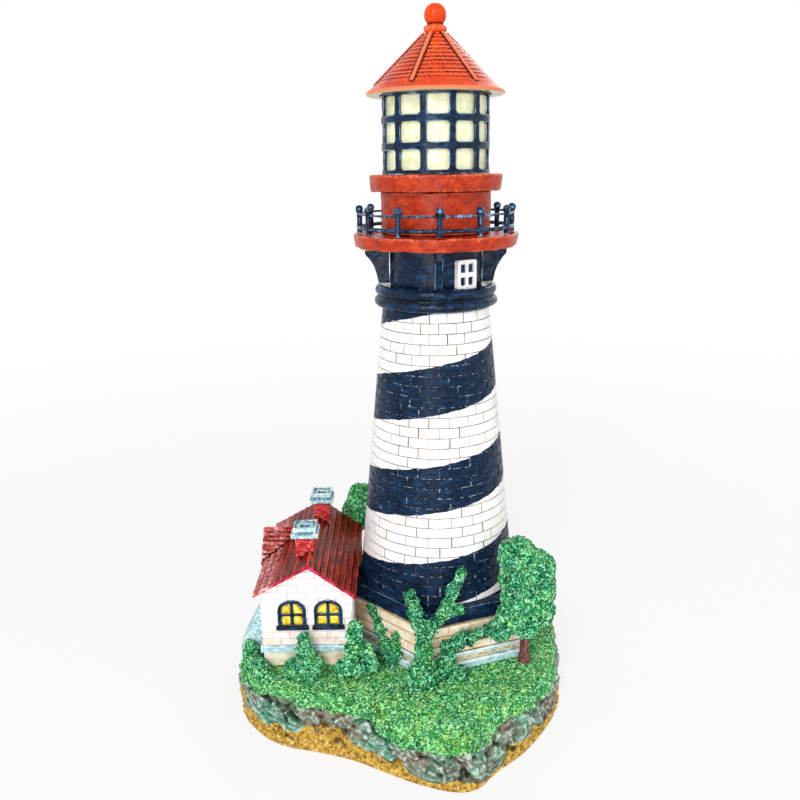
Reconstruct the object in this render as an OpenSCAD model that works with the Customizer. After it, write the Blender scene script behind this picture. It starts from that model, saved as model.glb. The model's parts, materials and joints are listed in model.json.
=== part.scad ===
// Garden lighthouse ornament: a striped brick tower with a gallery and a lit lantern, standing
// with a keeper's cottage on a rocky island.  The cast pieces are stacked and glued, the roof of
// the lantern lifts off, and a battery compartment is let into the underside.
// Millimetres, +Z up.  The origin is where the tower's axis meets the ground, and -Y is the front.
// A bearing is an angle seen from above: 0 is the front, and it grows towards the viewer's right.

/* [Island] */
// Height of the grass top, where the buildings stand
ground_z = 34; // [32:1:36]
// Thickness of the cast shell
shell_t = 7; // [5:1:8]
// Height of the sandy rim at the water's edge
sand_h = 7; // [4:1:9]
// Height of the rocky part of the bank
rock_h = 20; // [17:1:22]
// How far a rock stands out from the clefts beside it
crag = 5.6; // [0:0.1:6]

/* [Plinth] */
// Height of one step of the kerb
kerb_h = 5; // [4:0.5:6]
// Height of the three courses of stone together
stone_h = 16; // [14:1:18]
// Height of the black ledge
ledge_h = 9; // [7:1:10]
// How far the lowest step stands out from the ledge
plinth_spread = 8.5; // [6:0.5:10]

/* [Tower] */
// Radius of the brick shaft at its top
shaft_top_r = 31.4; // [29:0.1:33]
// Height of the top of the brick shaft
shaft_top_z = 241; // [230:1:250]
// Radius gained for each millimetre further down
shaft_taper = 0.101; // [0.07:0.001:0.11]
// Number of brick courses
courses = 29; // [20:1:36]
// Depth of the mortar joints
joint_d = 0.5; // [0.2:0.1:0.8]
// Wall thickness of the cast shaft
shaft_t = 5; // [4:0.5:7]

/* [Gallery] */
// Radius of the two rings round the neck
ring_r = 3.2; // [2.6:0.1:3.4]
// Radius of the drum between the brackets
corbel_r = 27; // [25:0.5:29]
// Number of brackets under the gallery
brackets = 4; // [2:1:8]
// Radius of the gallery floor
gallery_r = 47.9; // [45:0.1:50]
// Thickness of the gallery floor
gallery_t = 7.7; // [6:0.1:9]
// Number of railing posts
posts = 12; // [8:1:16]
// Height of the railing to the top of the ball heads
railing_h = 16; // [12:0.5:18]
// Radius of the railing's circle
railing_r = 43.7; // [41:0.1:45]
// Radius of the drum above the gallery
watch_r = 31.5; // [29:0.5:33]

/* [Lantern] */
// Outer radius of the lantern's cage
cage_r = 30.4; // [28:0.1:31.5]
// Wall thickness of the cage
cage_t = 1.8; // [1.4:0.1:2.2]
// Number of windows round the lantern
lights_round = 12; // [8:1:14]
// Width of one window
light_w = 11.6; // [8:0.1:12]
// Height of one window
light_h = 10.1; // [8:0.1:10.5]
// Radius of the lantern's floor
lantern_floor_r = 38.1; // [36:0.1:40]

/* [Roof] */
// Radius of the eave
eave_r = 38.5; // [37:0.1:40]
// Number of lapped courses on the roof
roof_courses = 12; // [8:1:14]
// Number of ribs on the roof
roof_ribs = 6; // [4:1:8]
// Radius of the ball on top
ball_r = 6.2; // [5:0.1:7]

/* [Cottage] */
// Length of the cottage from front to back
cottage_l = 88; // [80:1:92]
// Height of the ridge above the ground the ornament stands on
ridge_z = 102.5; // [98:0.5:106]
// Thickness of the roof boards
board_t = 3; // [2.4:0.1:3.4]
// Number of boards on each slope
boards = 8; // [5:1:10]
// How far the roof stands out from the walls
overhang = 3.5; // [2:0.5:4]

/* [Battery compartment] */
// Diameter of one cell
cell_d = 14.5; // [14.2:0.1:14.5]
// Length of one cell
cell_l = 50.5; // [49:0.5:50.5]
// Number of cells
cells = 3; // [2:1:3]
// Thickness of the plate that closes the underside
plate_t = 3; // [3:0.1:3.4]

/* [Hidden] */
$fn = 64;

// Colours
grass_c = "#3f8f45";
cream_c = "#ecd9ae";
sky_c = "#b5dbe2";
navy_c = "#1b2a44";
brick_c = "#f1efec";
red_c = "#b23a22";
orange_c = "#d8431d";
pane_c = "#efe9b4";
board_c = "#8f2620";
amber_c = "#e9cf3a";
bark_c = "#6b4038";
plastic_c = "#26282b";
metal_c = "#b9bcc0";

// Levels, from the ground up
kerb_mid_z = ground_z + kerb_h;
stone_z = ground_z + 2 * kerb_h;
ledge_z = stone_z + stone_h;
shaft_z = ledge_z + ledge_h;
course_h = (shaft_top_z - shaft_z) / courses;
core_top_z = shaft_top_z + 11.6;
deck_z = 275.1;
deck_top_z = deck_z + gallery_t;
lantern_floor_z = 305.7;
cage_z = 315.2;
cage_top_z = 358;
eave_z = 356.6;
cone_foot_z = 362;
cone_foot_r = 33;
cone_top_z = 388;
cone_top_r = 5.9;
ball_z = 397.2;

// Outline of the island at the water's edge, anticlockwise from the left
shore = [
    [-128, -28], [-124, -42], [-119, -59], [-105, -76], [-90, -85], [-72, -90], [-52, -97],
    [-33, -107], [-15, -116], [4, -122], [17, -120], [29, -108], [46, -93], [59, -77],
    [70, -59], [76, -40], [80, -14], [82, 14], [76, 44], [56, 68], [24, 84], [-14, 90],
    [-52, 86], [-88, 75], [-115, 52], [-127, 14]
];
heart = [-24, -15];
shore_steps = 6;
rows = 6;
rock_foot_z = sand_h + 1;
row_h = (rock_h - rock_foot_z) / (rows - 1);
// Each ring of the island: height, distance in from the shore, how far the rocks show in it, and
// how much further in it lies at the front point, where the grass slopes down
bank = concat(
    [[0, 2, 0, 0], [sand_h * 0.4, 0.2, 0.1, 0], [sand_h * 0.8, 0.8, 0.4, 0]],
    [for (k = [0 : rows - 1]) [rock_foot_z + k * row_h, 2.6 + 0.3 * k, 1, 0.2 * k]],
    [
        [rock_h + 2.5, 4.1, 0.9, 2.5], [rock_h + 5, 4.4, 0.6, 4], [ground_z - 6, 4.8, 0.3, 6.5],
        [ground_z - 3, 5.6, 0.1, 11], [ground_z - 1, 6.8, 0, 15.5], [ground_z, 8, 0, 19]
    ]
);
// The rocks, in two staggered rows: place along the shore, height and size
rocks = [
    for (k = [0 : 2 * len(shore) - 1])
        let (low = k % 2 == 0)
        [
            k / 2 + 0.18 * sin(97 * k), low ? 11 + 2 * sin(61 * k) : 19.5 + 2.5 * sin(43 * k),
            0.82 + 0.18 * sin(151 * k)
        ]
];
rock_half_w = 0.58;
rock_half_h = 6.6;
cleft_share = 0.5;
ring_sway = 0.35;
point_y = [-88, -122];
rebate_in = 7;
cavity_in = rebate_in + 4;
seal_t = 1;
cavity_z = ground_z - shell_t - 1;
screw_r = 1.5;
screw_spots = [[-104, -30], [-70, -72], [-6, -96], [54, -46], [56, 30], [-20, 68], [-92, 42]];

// The six faces of the plinth: bearing of each, and its distance from the tower's axis at the ledge
plinth_faces = [[-43, 49.5], [19, 53.5], [78, 52], [138, 52], [198, 52], [258, 50.5]];
stone_courses = 3;
plinth_bore_r = 38;

// Lamp
lamp_bore_r = 4.5;
lamp_z = 327.6;
wire_r = 1.1;
wire_sides = 8;
wire_route = [
    [0, 0, 326], [0, 0, 312], [0, 0, 295], [1, 0, 275], [2, 1, 250], [2, 2, 225], [0, 3, 200],
    [-2, 2, 175], [-3, 0, 150], [-2, -2, 125], [0, -2, 100], [1, -1, 75], [0, 0, 55], [0, 0, 36],
    [0, -0.5, 28], [-1, -7, 21], [-1, -17, 14], [-1, -25, 9], [-1, -29, 7.5], [-1, -32, 7.5]
];
battery_route = [
    [-9.15, -36, 6.5], [-13, -36, 7], [-18, -33, 8.5], [-20, -28, 9.5], [-24, -23, 10], [-29.15, -22, 10]
];

// Cottage: walls, ridge and slopes as they are seen from the front
wall_x0 = -105;
wall_x1 = -51.5;
wall_y0 = -55;
ridge_x = -76.2;
slope_left = 0.547;
slope_right = 0.7425;
footing_top_z = 44;
band_top_z = 48.5;
footing_over = 0.4;
band_over = 1.8;
wing_x = -107;
wing_ridge_z = 99.4;
wing_half = 17.5;
wing_slope = 0.9;

// Battery compartment
box_at = [-54, -22];
box_w = cells * cell_d + 3;
box_l = cell_l + 7;
box_t = 1.6;
box_h = cell_d + 3;
door_t = 2;
door_gap = 0.4;
hinge_z = 1.5;
hinge_r = 0.6;
switch_at = [-1, -36];
slot_l = 9;
slot_w = 4.2;

// ---------------------------------------------------------------- shared forms

// A point at a radius and bearing
function polar(r, bearing) = [r * sin(bearing), -r * cos(bearing)];

// Stands the children so that their +X points outwards at a bearing
module facing(bearing) {
    rotate([0, 0, bearing - 90]) children();
}

// Repeats the children round the tower's axis
module round_about(count, first = 0) {
    for (k = [0 : count - 1]) facing(first + k * 360 / count) children();
}

module rounded_square(size, r) {
    square([size[0] - 2 * r, size[1]], center = true);
    square([size[0], size[1] - 2 * r], center = true);
    for (x = [-1, 1], y = [-1, 1])
        translate([x * (size[0] / 2 - r), y * (size[1] / 2 - r)]) circle(r, $fn = 24);
}

// A tube with straight walls
module tube(r_out, r_in, z0, z1) {
    difference() {
        translate([0, 0, z0]) cylinder(r = r_out, h = z1 - z0, $fn = 96);
        translate([0, 0, z0 - 1]) cylinder(r = r_in, h = z1 - z0 + 2, $fn = 96);
    }
}

function wrapped(list, i) = list[(i + len(list)) % len(list)];
function curve(a, b, c, d, t) =
    0.5 * (2 * b + (c - a) * t + (2 * a - 5 * b + 4 * c - d) * t * t + (3 * b - a - 3 * c + d) * t * t * t);
function smooth_loop(list, n) = [
    for (i = [0 : len(list) - 1], s = [0 : n - 1])
        curve(wrapped(list, i - 1), list[i], wrapped(list, i + 1), wrapped(list, i + 2), s / n)
];
function smooth_line(list, n) = let (last = len(list) - 1) concat([
    for (i = [0 : last - 1], s = [0 : n - 1])
        curve(list[max(i - 1, 0)], list[i], list[i + 1], list[min(i + 2, last)], s / n)
], [list[last]]);
function unit(v) = v / norm(v);
function pulled_in(p, d) = p - d * unit(p - heart);

// A closed skin over rings of points that all have the same number of points
module skin(rings) {
    n = len(rings[0]);
    top = len(rings) - 1;
    sides = [
        for (i = [0 : top - 1], j = [0 : n - 1])
            let (a = i * n + j, b = i * n + (j + 1) % n)
            each [[a, a + n, b + n], [a, b + n, b]]
    ];
    polyhedron(
        [for (ring = rings) each ring],
        concat([[for (j = [0 : n - 1]) j]], sides, [[for (j = [n - 1 : -1 : 0]) top * n + j]])
    );
}

// A round tube swept along a smooth route
module swept(route, r, steps) {
    path = smooth_line(route, steps);
    last = len(path) - 1;
    skin([
        for (i = [0 : last])
            let (along = unit(path[min(i + 1, last)] - path[max(i - 1, 0)]),
                 side = unit(cross(abs(along[2]) > 0.9 ? [0, 1, 0] : [0, 0, 1], along)),
                 up = cross(along, side))
            [for (k = [0 : wire_sides - 1])
                let (a = 360 * k / wire_sides) path[i] + r * (cos(a) * side + sin(a) * up)]
    ]);
}

// Leaves clipped to balls: each entry is x, y, z and radius
module leaf_balls(balls) {
    for (b = balls) translate([b[0], b[1], b[2]]) sphere(r = b[3], $fn = 32);
}

// Everything below a level, for clipping plants to the ground
module below(z) {
    translate([-150, -150, z - 200]) cube([300, 300, 200]);
}

// ---------------------------------------------------------------- island and plinth

// How far a place on the shore lies towards the front point, from 0 to 1
function to_point(p) = max(0, min(1, (p[1] - point_y[0]) / (point_y[1] - point_y[0])));

// How far the tallest rock at a place along the shore stands out there, as a share of crag
function rock_rise(u, z) = max([
    for (r = rocks)
        let (d = abs(u - r[0]),
             across = min(d, len(shore) - d) / rock_half_w,
             up = (z - r[1]) / rock_half_h,
             inside = 1 - across * across - up * up)
        inside > 0 ? r[2] * sqrt(inside) : 0
]);

function shore_ring(b) = let (loop = smooth_loop(shore, shore_steps)) [
    for (j = [0 : len(loop) - 1])
        let (z = b[0] + ring_sway * b[2] * sin(83 * j + 31 * b[0]),
             cleft = cleft_share - rock_rise(j / shore_steps, z),
             inset = b[1] + crag * b[2] * cleft + b[3] * to_point(loop[j]))
        concat(pulled_in(loop[j], inset), z)
];

module shore_prism(inset, z0, z1) {
    translate([0, 0, z0]) linear_extrude(z1 - z0) polygon([for (p = shore) pulled_in(p, inset)]);
}

module island_base() color(grass_c) {
    difference() {
        skin([for (b = bank) shore_ring(b)]);
        shore_prism(rebate_in, -1, plate_t + seal_t);
        difference() {
            shore_prism(cavity_in, plate_t + seal_t - 0.5, cavity_z);
            for (s = screw_spots) translate([s[0], s[1], 0]) cylinder(r = 5, h = cavity_z);
        }
        for (s = screw_spots) translate([s[0], s[1], 0]) cylinder(r = screw_r + 0.05, h = 17);
        cylinder(r = lamp_bore_r, h = 100);
    }
}

// Corner of the plinth between one face and the next, with every face moved out by e
function plinth_corner(k, e) =
    let (a = plinth_faces[k], b = wrapped(plinth_faces, k + 1),
         u = polar(1, a[0]), v = polar(1, b[0]), p = a[1] + e, q = b[1] + e,
         det = u[0] * v[1] - u[1] * v[0])
    [(p * v[1] - q * u[1]) / det, (u[0] * q - v[0] * p) / det];

module plinth_prism(e, z0, z1) {
    translate([0, 0, z0]) linear_extrude(z1 - z0)
        polygon([for (k = [0 : len(plinth_faces) - 1]) plinth_corner(k, e)]);
}

stone_spread = plinth_spread * 0.5;

module stone_courses_stack() {
    for (k = [0 : stone_courses - 1])
        plinth_prism(
            stone_spread * (1 - k / stone_courses), ground_z,
            stone_z + stone_h * (k + 1) / stone_courses
        );
}

module plinth_bore() {
    cylinder(r = plinth_bore_r, h = shaft_z + 1, $fn = 96);
}

module kerb_lower() color(sky_c) {
    difference() {
        plinth_prism(plinth_spread, ground_z, kerb_mid_z);
        plinth_prism(stone_spread, ground_z - 1, kerb_mid_z + 1);
    }
}

module kerb_upper() color(sky_c) {
    difference() {
        plinth_prism(plinth_spread * 0.76, kerb_mid_z, stone_z);
        plinth_prism(stone_spread, kerb_mid_z - 1, stone_z + 1);
    }
}

module stone_plinth() color(cream_c) {
    difference() {
        stone_courses_stack();
        plinth_bore();
    }
}

ledge_moulding_h = 3;

module plinth_ledge() color(navy_c) {
    difference() {
        union() {
            plinth_prism(0.6, ledge_z, shaft_z - ledge_moulding_h);
            plinth_prism(0, shaft_z - ledge_moulding_h, shaft_z - ledge_moulding_h / 2);
            plinth_prism(-0.6, shaft_z - ledge_moulding_h / 2, shaft_z);
        }
        plinth_bore();
    }
}

// What the plinth and the tower take up, for fitting the cottage and the plants against them
module plinth_room() {
    plinth_prism(plinth_spread, 0, kerb_mid_z);
    plinth_prism(plinth_spread * 0.76, kerb_mid_z, stone_z);
    stone_courses_stack();
    plinth_prism(0.6, ledge_z, shaft_z);
}

module tower_room() {
    gap = 0.1;
    translate([0, 0, shaft_z])
        cylinder(r1 = shaft_r(shaft_z) + gap, r2 = shaft_top_r + gap, h = shaft_top_z - shaft_z, $fn = 96);
}

// ---------------------------------------------------------------- tower

function shaft_r(z) = shaft_top_r + (shaft_top_z - z) * shaft_taper;

module tower_shaft() color(brick_c) {
    joint_w = 0.7;
    outside = [
        for (k = [0 : courses - 1])
            let (z0 = shaft_z + k * course_h, z1 = z0 + course_h, zj = z1 - joint_w)
            each k < courses - 1
                ? [
                    [shaft_r(z0), z0], [shaft_r(zj), zj],
                    [shaft_r(zj) - joint_d, zj], [shaft_r(z1) - joint_d, z1]
                ]
                : [[shaft_r(z0), z0], [shaft_r(z1), z1]]
    ];
    rotate_extrude($fn = 96) polygon(concat(
        outside,
        [[shaft_top_r - shaft_t, shaft_top_z], [shaft_r(shaft_z) - shaft_t, shaft_z]]
    ));
}

module neck_rings() color(navy_c) {
    core_r = shaft_top_r + 0.6;
    rotate_extrude($fn = 96) {
        translate([shaft_top_r - shaft_t, shaft_top_z])
            square([core_r - shaft_top_r + shaft_t, core_top_z - shaft_top_z]);
        translate([core_r + 1.1, shaft_top_z + ring_r + 0.05]) circle(ring_r, $fn = 32);
        translate([core_r + 0.5, shaft_top_z + 3 * ring_r + 0.25]) circle(ring_r, $fn = 32);
    }
}

module corbel_drum() color(navy_c) tube(corbel_r, corbel_r - 6, core_top_z, deck_z);

module gallery_brackets() color(navy_c) {
    bracket_w = 4.4;
    foot_z = shaft_top_z + 4 * ring_r + 0.4;
    profile = [
        [corbel_r - 2, foot_z], [33.5, foot_z], [34.6, foot_z + 5], [36.2, foot_z + 9.6],
        [38, foot_z + 12.6], [41.2, deck_z - 4.6], [41.2, deck_z], [corbel_r - 2, deck_z]
    ];
    difference() {
        round_about(brackets)
            rotate([90, 0, 0]) translate([0, 0, -bracket_w / 2]) linear_extrude(bracket_w) polygon(profile);
        translate([0, 0, core_top_z]) cylinder(r = corbel_r, h = 40, $fn = 96);
    }
}

// The little white window under the gallery
gw_bearing = 34;
gw_size = [13.4, 16.6];
gw_z = core_top_z + 0.2 + gw_size[1] / 2;
gw_front = corbel_r + 2.5;

// A flat outline pressed outwards from the corbel drum at the window's place
module on_corbel(front) {
    difference() {
        translate([0, 0, gw_z]) facing(gw_bearing) translate([corbel_r - 3, 0, 0])
            rotate([90, 0, 90]) linear_extrude(front - corbel_r + 3) children();
        translate([0, 0, core_top_z - 1]) cylinder(r = corbel_r, h = 40, $fn = 96);
    }
}

module gw_openings() {
    for (x = [-1, 1], y = [-1, 1]) translate([x * 2.75, y * 3.6]) rounded_square([3.5, 4.6], 0.6);
}

module gallery_window() color("white") on_corbel(gw_front) difference() {
    rounded_square(gw_size, 1.4);
    gw_openings();
}

module gallery_window_glass() color(plastic_c) on_corbel(gw_front - 1) gw_openings();

module gallery_deck() color(red_c) {
    rotate_extrude($fn = 96) polygon([
        [lamp_bore_r, deck_z], [gallery_r - 1.8, deck_z], [gallery_r - 1.3, deck_z + 0.7],
        [gallery_r - 0.3, deck_top_z - 1.3], [gallery_r - 0.5, deck_top_z - 0.3],
        [gallery_r - 1, deck_top_z], [lamp_bore_r, deck_top_z]
    ]);
}

module gallery_railing() color(navy_c) {
    post_r = 1.7;
    head_r = 2.5;
    head_z = deck_top_z + railing_h - head_r;
    round_about(posts) translate([railing_r, 0, 0]) {
        translate([0, 0, deck_top_z]) cylinder(r = post_r, h = head_z - deck_top_z, $fn = 24);
        translate([0, 0, head_z]) sphere(r = head_r, $fn = 32);
    }
    rotate_extrude($fn = 96) {
        translate([railing_r, deck_top_z + railing_h * 0.22]) circle(1.35, $fn = 24);
        translate([railing_r, deck_top_z + railing_h * 0.69]) circle(0.9, $fn = 24);
    }
}

module watch_room() color(red_c) tube(watch_r, watch_r - 6, deck_top_z, lantern_floor_z);

// ---------------------------------------------------------------- lantern

module lantern_deck() color(red_c) {
    rotate_extrude($fn = 96) polygon([
        [lamp_bore_r, lantern_floor_z], [lantern_floor_r - 1.5, lantern_floor_z],
        [lantern_floor_r - 1, lantern_floor_z + 0.6], [lantern_floor_r - 0.1, cage_z - 1],
        [lantern_floor_r - 0.7, cage_z], [lamp_bore_r, cage_z]
    ]);
}

light_rows = 3;
row_pitch = 14.1;
first_row_z = 317.6;

module lantern_cage() color(navy_c) {
    difference() {
        tube(cage_r, cage_r - cage_t, cage_z, cage_top_z);
        for (row = [0 : light_rows - 1])
            translate([0, 0, first_row_z + light_h / 2 + row * row_pitch])
                round_about(lights_round) translate([cage_r - 6, 0, 0])
                    rotate([90, 0, 90]) linear_extrude(10) rounded_square([light_w, light_h], 1.4);
    }
}

module lantern_panes() color(pane_c)
    tube(cage_r - cage_t - 0.2, cage_r - cage_t - 1.8, cage_z, cage_top_z - 2);

function cone_r(z) =
    cone_foot_r - (z - cone_foot_z) * (cone_foot_r - cone_top_r) / (cone_top_z - cone_foot_z);

module lantern_roof() color(orange_c) {
    lap = 0.55;
    skirt_r = cage_r - cage_t - 2.2;
    skirt_t = 1.8;
    seat_r = cage_r + 0.6;
    boss_r = 4.6;
    peg_hole_r = 2.5;
    roof_t = 2.8;
    step = (cone_top_z - cone_foot_z) / roof_courses;
    laps = [
        for (k = [0 : roof_courses - 1])
            let (z0 = cone_foot_z + k * step, z1 = z0 + step)
            each [[cone_r(z0) + lap, z0], [cone_r(z1), z1 - 0.05]]
    ];
    eave = [
        [seat_r, eave_z], [eave_r - 0.6, eave_z], [eave_r, eave_z + 0.7], [eave_r - 0.2, eave_z + 1.8],
        [eave_r - 1.4, eave_z + 2.6], [cone_foot_r + 1.6, cone_foot_z - 1]
    ];
    underside = [
        [cone_top_r, cone_top_z], [peg_hole_r, cone_top_z], [peg_hole_r, cone_top_z - 8],
        [boss_r, cone_top_z - 8], [boss_r, cone_top_z - roof_t - 1], [skirt_r - skirt_t, cone_top_z - 21],
        [skirt_r - skirt_t, cage_top_z - 6], [skirt_r, cage_top_z - 6], [skirt_r, cage_top_z],
        [seat_r, cage_top_z]
    ];
    rotate_extrude($fn = 96) polygon(concat(eave, laps, underside));
    run = cone_foot_r + 0.6 - cone_top_r;
    rise = cone_top_z - cone_foot_z + 0.6;
    round_about(roof_ribs, 36)
        translate([cone_foot_r + 0.6, 0, cone_foot_z - 0.6])
            rotate([0, -atan2(run, rise), 0]) cylinder(r = 1.25, h = norm([run, rise]), $fn = 24);
}

module roof_finial() color(orange_c) {
    rotate_extrude($fn = 64) {
        translate([0, cone_top_z - 7]) square([2.45, 8]);
        translate([0, cone_top_z]) square([5.1, 4]);
        intersection() {
            translate([4.4, cone_top_z + 2.2]) circle(2.1, $fn = 32);
            translate([0, cone_top_z]) square([8, 8]);
        }
    }
    translate([0, 0, ball_z]) sphere(r = ball_r, $fn = 64);
}

// ---------------------------------------------------------------- cottage

function roof_z(x) = x < ridge_x
    ? ridge_z - slope_left * (ridge_x - x)
    : ridge_z - slope_right * (x - ridge_x);
wall_y1 = wall_y0 + cottage_l;

// Extrudes an outline drawn in X and Z from front to back
module front_to_back(y0, y1) {
    translate([0, y1, 0]) rotate([90, 0, 0]) linear_extrude(y1 - y0) children();
}

// Extrudes an outline drawn in Y and Z from left to right
module left_to_right(x0, x1) {
    translate([x0, 0, 0]) rotate([90, 0, 90]) linear_extrude(x1 - x0) children();
}

// The cottage below its roof boards
module cottage_block(z0, grow = 0) {
    x0 = wall_x0 - grow;
    x1 = wall_x1 + grow;
    front_to_back(wall_y0 - grow, wall_y1 + grow) polygon([
        [x0, z0], [x1, z0], [x1, roof_z(x1) - board_t], [ridge_x, ridge_z - board_t],
        [x0, roof_z(x0) - board_t]
    ]);
    wing_y = wing_half - overhang;
    wing_z = wing_ridge_z - board_t;
    left_to_right(wing_x - grow, ridge_x) polygon([
        [-wing_y, z0], [wing_y, z0], [wing_y, wing_z - wing_slope * wing_y], [0, wing_z],
        [-wing_y, wing_z - wing_slope * wing_y]
    ]);
}

module fitted_to_tower() {
    difference() {
        children();
        plinth_room();
        tower_room();
    }
}

module cottage_slice(z0, z1, grow) {
    intersection() {
        cottage_block(z0, grow);
        translate([-150, -100, z0]) cube([150, 200, z1 - z0]);
    }
}

module cottage_footing() color(cream_c)
    fitted_to_tower() cottage_slice(ground_z, footing_top_z, footing_over);

module cottage_band() color(sky_c) fitted_to_tower() cottage_slice(footing_top_z, band_top_z, band_over);

// Outline of an arched window, standing on its sill
module arch(w, h) {
    translate([-w / 2, 0]) square([w, h - w / 2]);
    translate([0, h - w / 2]) circle(w / 2, $fn = 48);
}

window_w = 14.2;
window_h = 17.4;
window_z = 61;
window_x = [-87, -65.8];
window_depth = 1.8;
frame_w = 2;

module cottage_walls() color(brick_c) difference() {
    fitted_to_tower() cottage_block(band_top_z);
    for (x = window_x) front_to_back(wall_y0 - 1, wall_y0 + window_depth)
        translate([x, window_z]) arch(window_w - 1.2, window_h - 0.6);
}

// Stepped outline of the boards up one slope, from its eave to the ridge
lap_step = 0.75;
gable_over = 4;
function boarded(eave_p, ridge_p) = [
    for (k = [0 : boards - 1])
        let (a = eave_p + (ridge_p - eave_p) * k / boards, b = eave_p + (ridge_p - eave_p) * (k + 1) / boards)
        each [a, k < boards - 1 ? b - [0, lap_step] : b]
];

// Outline of a pair of boarded slopes and an underside that lies a depth below their planes
function gable(left, top, right, depth) = concat(
    boarded(left, top),
    let (far = boarded(right, top)) [for (k = [len(far) - 2 : -1 : 0]) far[k]],
    [for (p = [right, top, left]) p - [0, depth]]
);

// The boarded slopes of the main roof, filled to a depth below their planes
module main_roof(depth) {
    x0 = wall_x0 - overhang;
    x1 = wall_x1 + overhang - 1;
    front_to_back(wall_y0 - gable_over, wall_y1 + gable_over)
        polygon(gable([x0, roof_z(x0)], [ridge_x, ridge_z], [x1, roof_z(x1)], depth));
}

module cottage_roof() color(board_c) {
    wing_eave_z = wing_ridge_z - wing_slope * wing_half;
    difference() {
        union() {
            main_roof(board_t);
            left_to_right(wing_x - overhang, ridge_x)
                polygon(gable(
                    [-wing_half, wing_eave_z], [0, wing_ridge_z], [wing_half, wing_eave_z], board_t
                ));
        }
        cottage_block(band_top_z);
        tower_room();
    }
}

// Chimneys: place of the stack's middle, its size, and the height of its top
chimneys = [[-79.2, -36, 11.4, 10, 111], [-73.6, 13, 10.6, 10, 112]];
cap_over = 2.4;

module chimney_stack(c) color(red_c) difference() {
    stack_foot_z = ridge_z - 12;
    translate([c[0] - c[2] / 2, c[1] - c[3] / 2, stack_foot_z]) cube([c[2], c[3], c[4] - stack_foot_z]);
    main_roof(ridge_z / 2);
}

module chimney_cap(c) color(sky_c) {
    w = c[2] + 2 * cap_over;
    l = c[3] + 2 * cap_over;
    translate([c[0], c[1], c[4]]) difference() {
        union() {
            linear_extrude(3) rounded_square([w, l], 0.8);
            linear_extrude(6.6) rounded_square([w - 2.4, l - 2.4], 0.8);
        }
        translate([0, 0, 5.4]) linear_extrude(2) rounded_square([w - 5.4, l - 5.4], 0.6);
        translate([0, 0, 3.4]) linear_extrude(4) square([5, 4.4], center = true);
    }
}

module chimney_front() chimney_stack(chimneys[0]);
module chimney_front_cap() chimney_cap(chimneys[0]);
module chimney_rear() chimney_stack(chimneys[1]);
module chimney_rear_cap() chimney_cap(chimneys[1]);

module window_bars() {
    translate([-0.8, 0]) square([1.6, window_h - 1]);
    translate([-window_w / 2 + 1, 6.8]) square([window_w - 2, 1.6]);
}

module window_frame(x) color(navy_c) {
    inner_w = window_w - 2 * frame_w;
    front_to_back(wall_y0 - 1.2, wall_y0) translate([x, window_z]) difference() {
        arch(window_w, window_h);
        translate([0, 1.2]) arch(inner_w, window_h - frame_w - 1.2);
    }
    front_to_back(wall_y0 - 0.9, wall_y0) translate([x, window_z]) intersection() {
        arch(window_w, window_h);
        window_bars();
    }
    front_to_back(wall_y0 - 2.2, wall_y0) translate([x - window_w / 2 - 1, window_z - 1.8])
        square([window_w + 2, 2.4]);
}

module window_glass(x) color(amber_c)
    front_to_back(wall_y0 + 0.3, wall_y0 + window_depth)
        translate([x, window_z]) arch(window_w - 1.2, window_h - 0.6);

module window_left() window_frame(window_x[0]);
module window_right() window_frame(window_x[1]);
module window_left_glass() window_glass(window_x[0]);
module window_right_glass() window_glass(window_x[1]);

module cellar_hatch() color(sky_c) {
    footing_x = wall_x0 - footing_over;
    band_x = wall_x0 - band_over;
    front_to_back(-40, -20) polygon([
        [footing_x, ground_z], [footing_x, footing_top_z], [band_x, footing_top_z], [band_x, band_top_z],
        [wall_x0, band_top_z], [wall_x0, 64], [band_x - 2, 64], [band_x - 15, 39], [band_x - 15, ground_z]
    ]);
}

// ---------------------------------------------------------------- trees and plants

crown = [
    [45, -50, 101, 12.5], [56, -47, 92, 12], [58, -50, 80, 11], [44, -53, 88, 11],
    [46, -56, 76, 12], [56, -54, 69, 11.5], [41, -56, 66, 9.5], [35, -57, 58, 7.5],
    [49, -58, 62, 9], [62, -46, 84, 7], [50, -42, 86, 8]
];
trunk_at = [50, -52.6];

module tree_crown() color(grass_c) difference() {
    leaf_balls(crown);
    tower_room();
    plinth_room();
    translate([trunk_at[0], trunk_at[1], 0]) cylinder(r = 2.9, h = 70);
}

module tree_trunk() color(bark_c) translate([trunk_at[0], trunk_at[1], ground_z]) {
    cylinder(r = 2.9, h = 70 - ground_z);
    cylinder(r1 = 4.4, r2 = 2.9, h = 6);
}

rear_crown = [
    [-50, 42, 101, 10], [-55, 44, 90, 9], [-45, 46, 88, 10], [-48, 50, 98, 9], [-52, 50, 80, 8]
];
rear_trunk_at = [-53, 50.5];

module rear_tree_crown() color(grass_c) difference() {
    leaf_balls(rear_crown);
    rear_trunk_pole();
    translate([-150, -100, 0]) cube([300, 100 + wall_y1 + 4.2, 300]);
}

module rear_trunk_pole() translate([rear_trunk_at[0], rear_trunk_at[1], ground_z]) cylinder(r = 2.6, h = 56);

module rear_tree_trunk() color(bark_c) rear_trunk_pole();

module planted(balls) color(grass_c) difference() {
    leaf_balls(balls);
    below(ground_z);
    plinth_room();
}

module bush_front() planted([
    [-80, -64.5, 42, 6.5], [-86, -65, 41, 5.5], [-74, -65, 41, 5.8], [-79.5, -63.8, 50, 6],
    [-80, -63.2, 57.5, 4.6], [-83, -67, 38, 5.5], [-76, -68, 38, 5.5]
]);

module bush_corner() planted([
    [-50, -64.5, 42, 8], [-57, -66, 39, 6], [-43, -62, 40, 6.5], [-50.5, -63.5, 51, 6.8],
    [-50.5, -63, 59, 5.6], [-49.5, -62.8, 65, 4.4], [-44, -61, 49, 5]
]);

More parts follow.
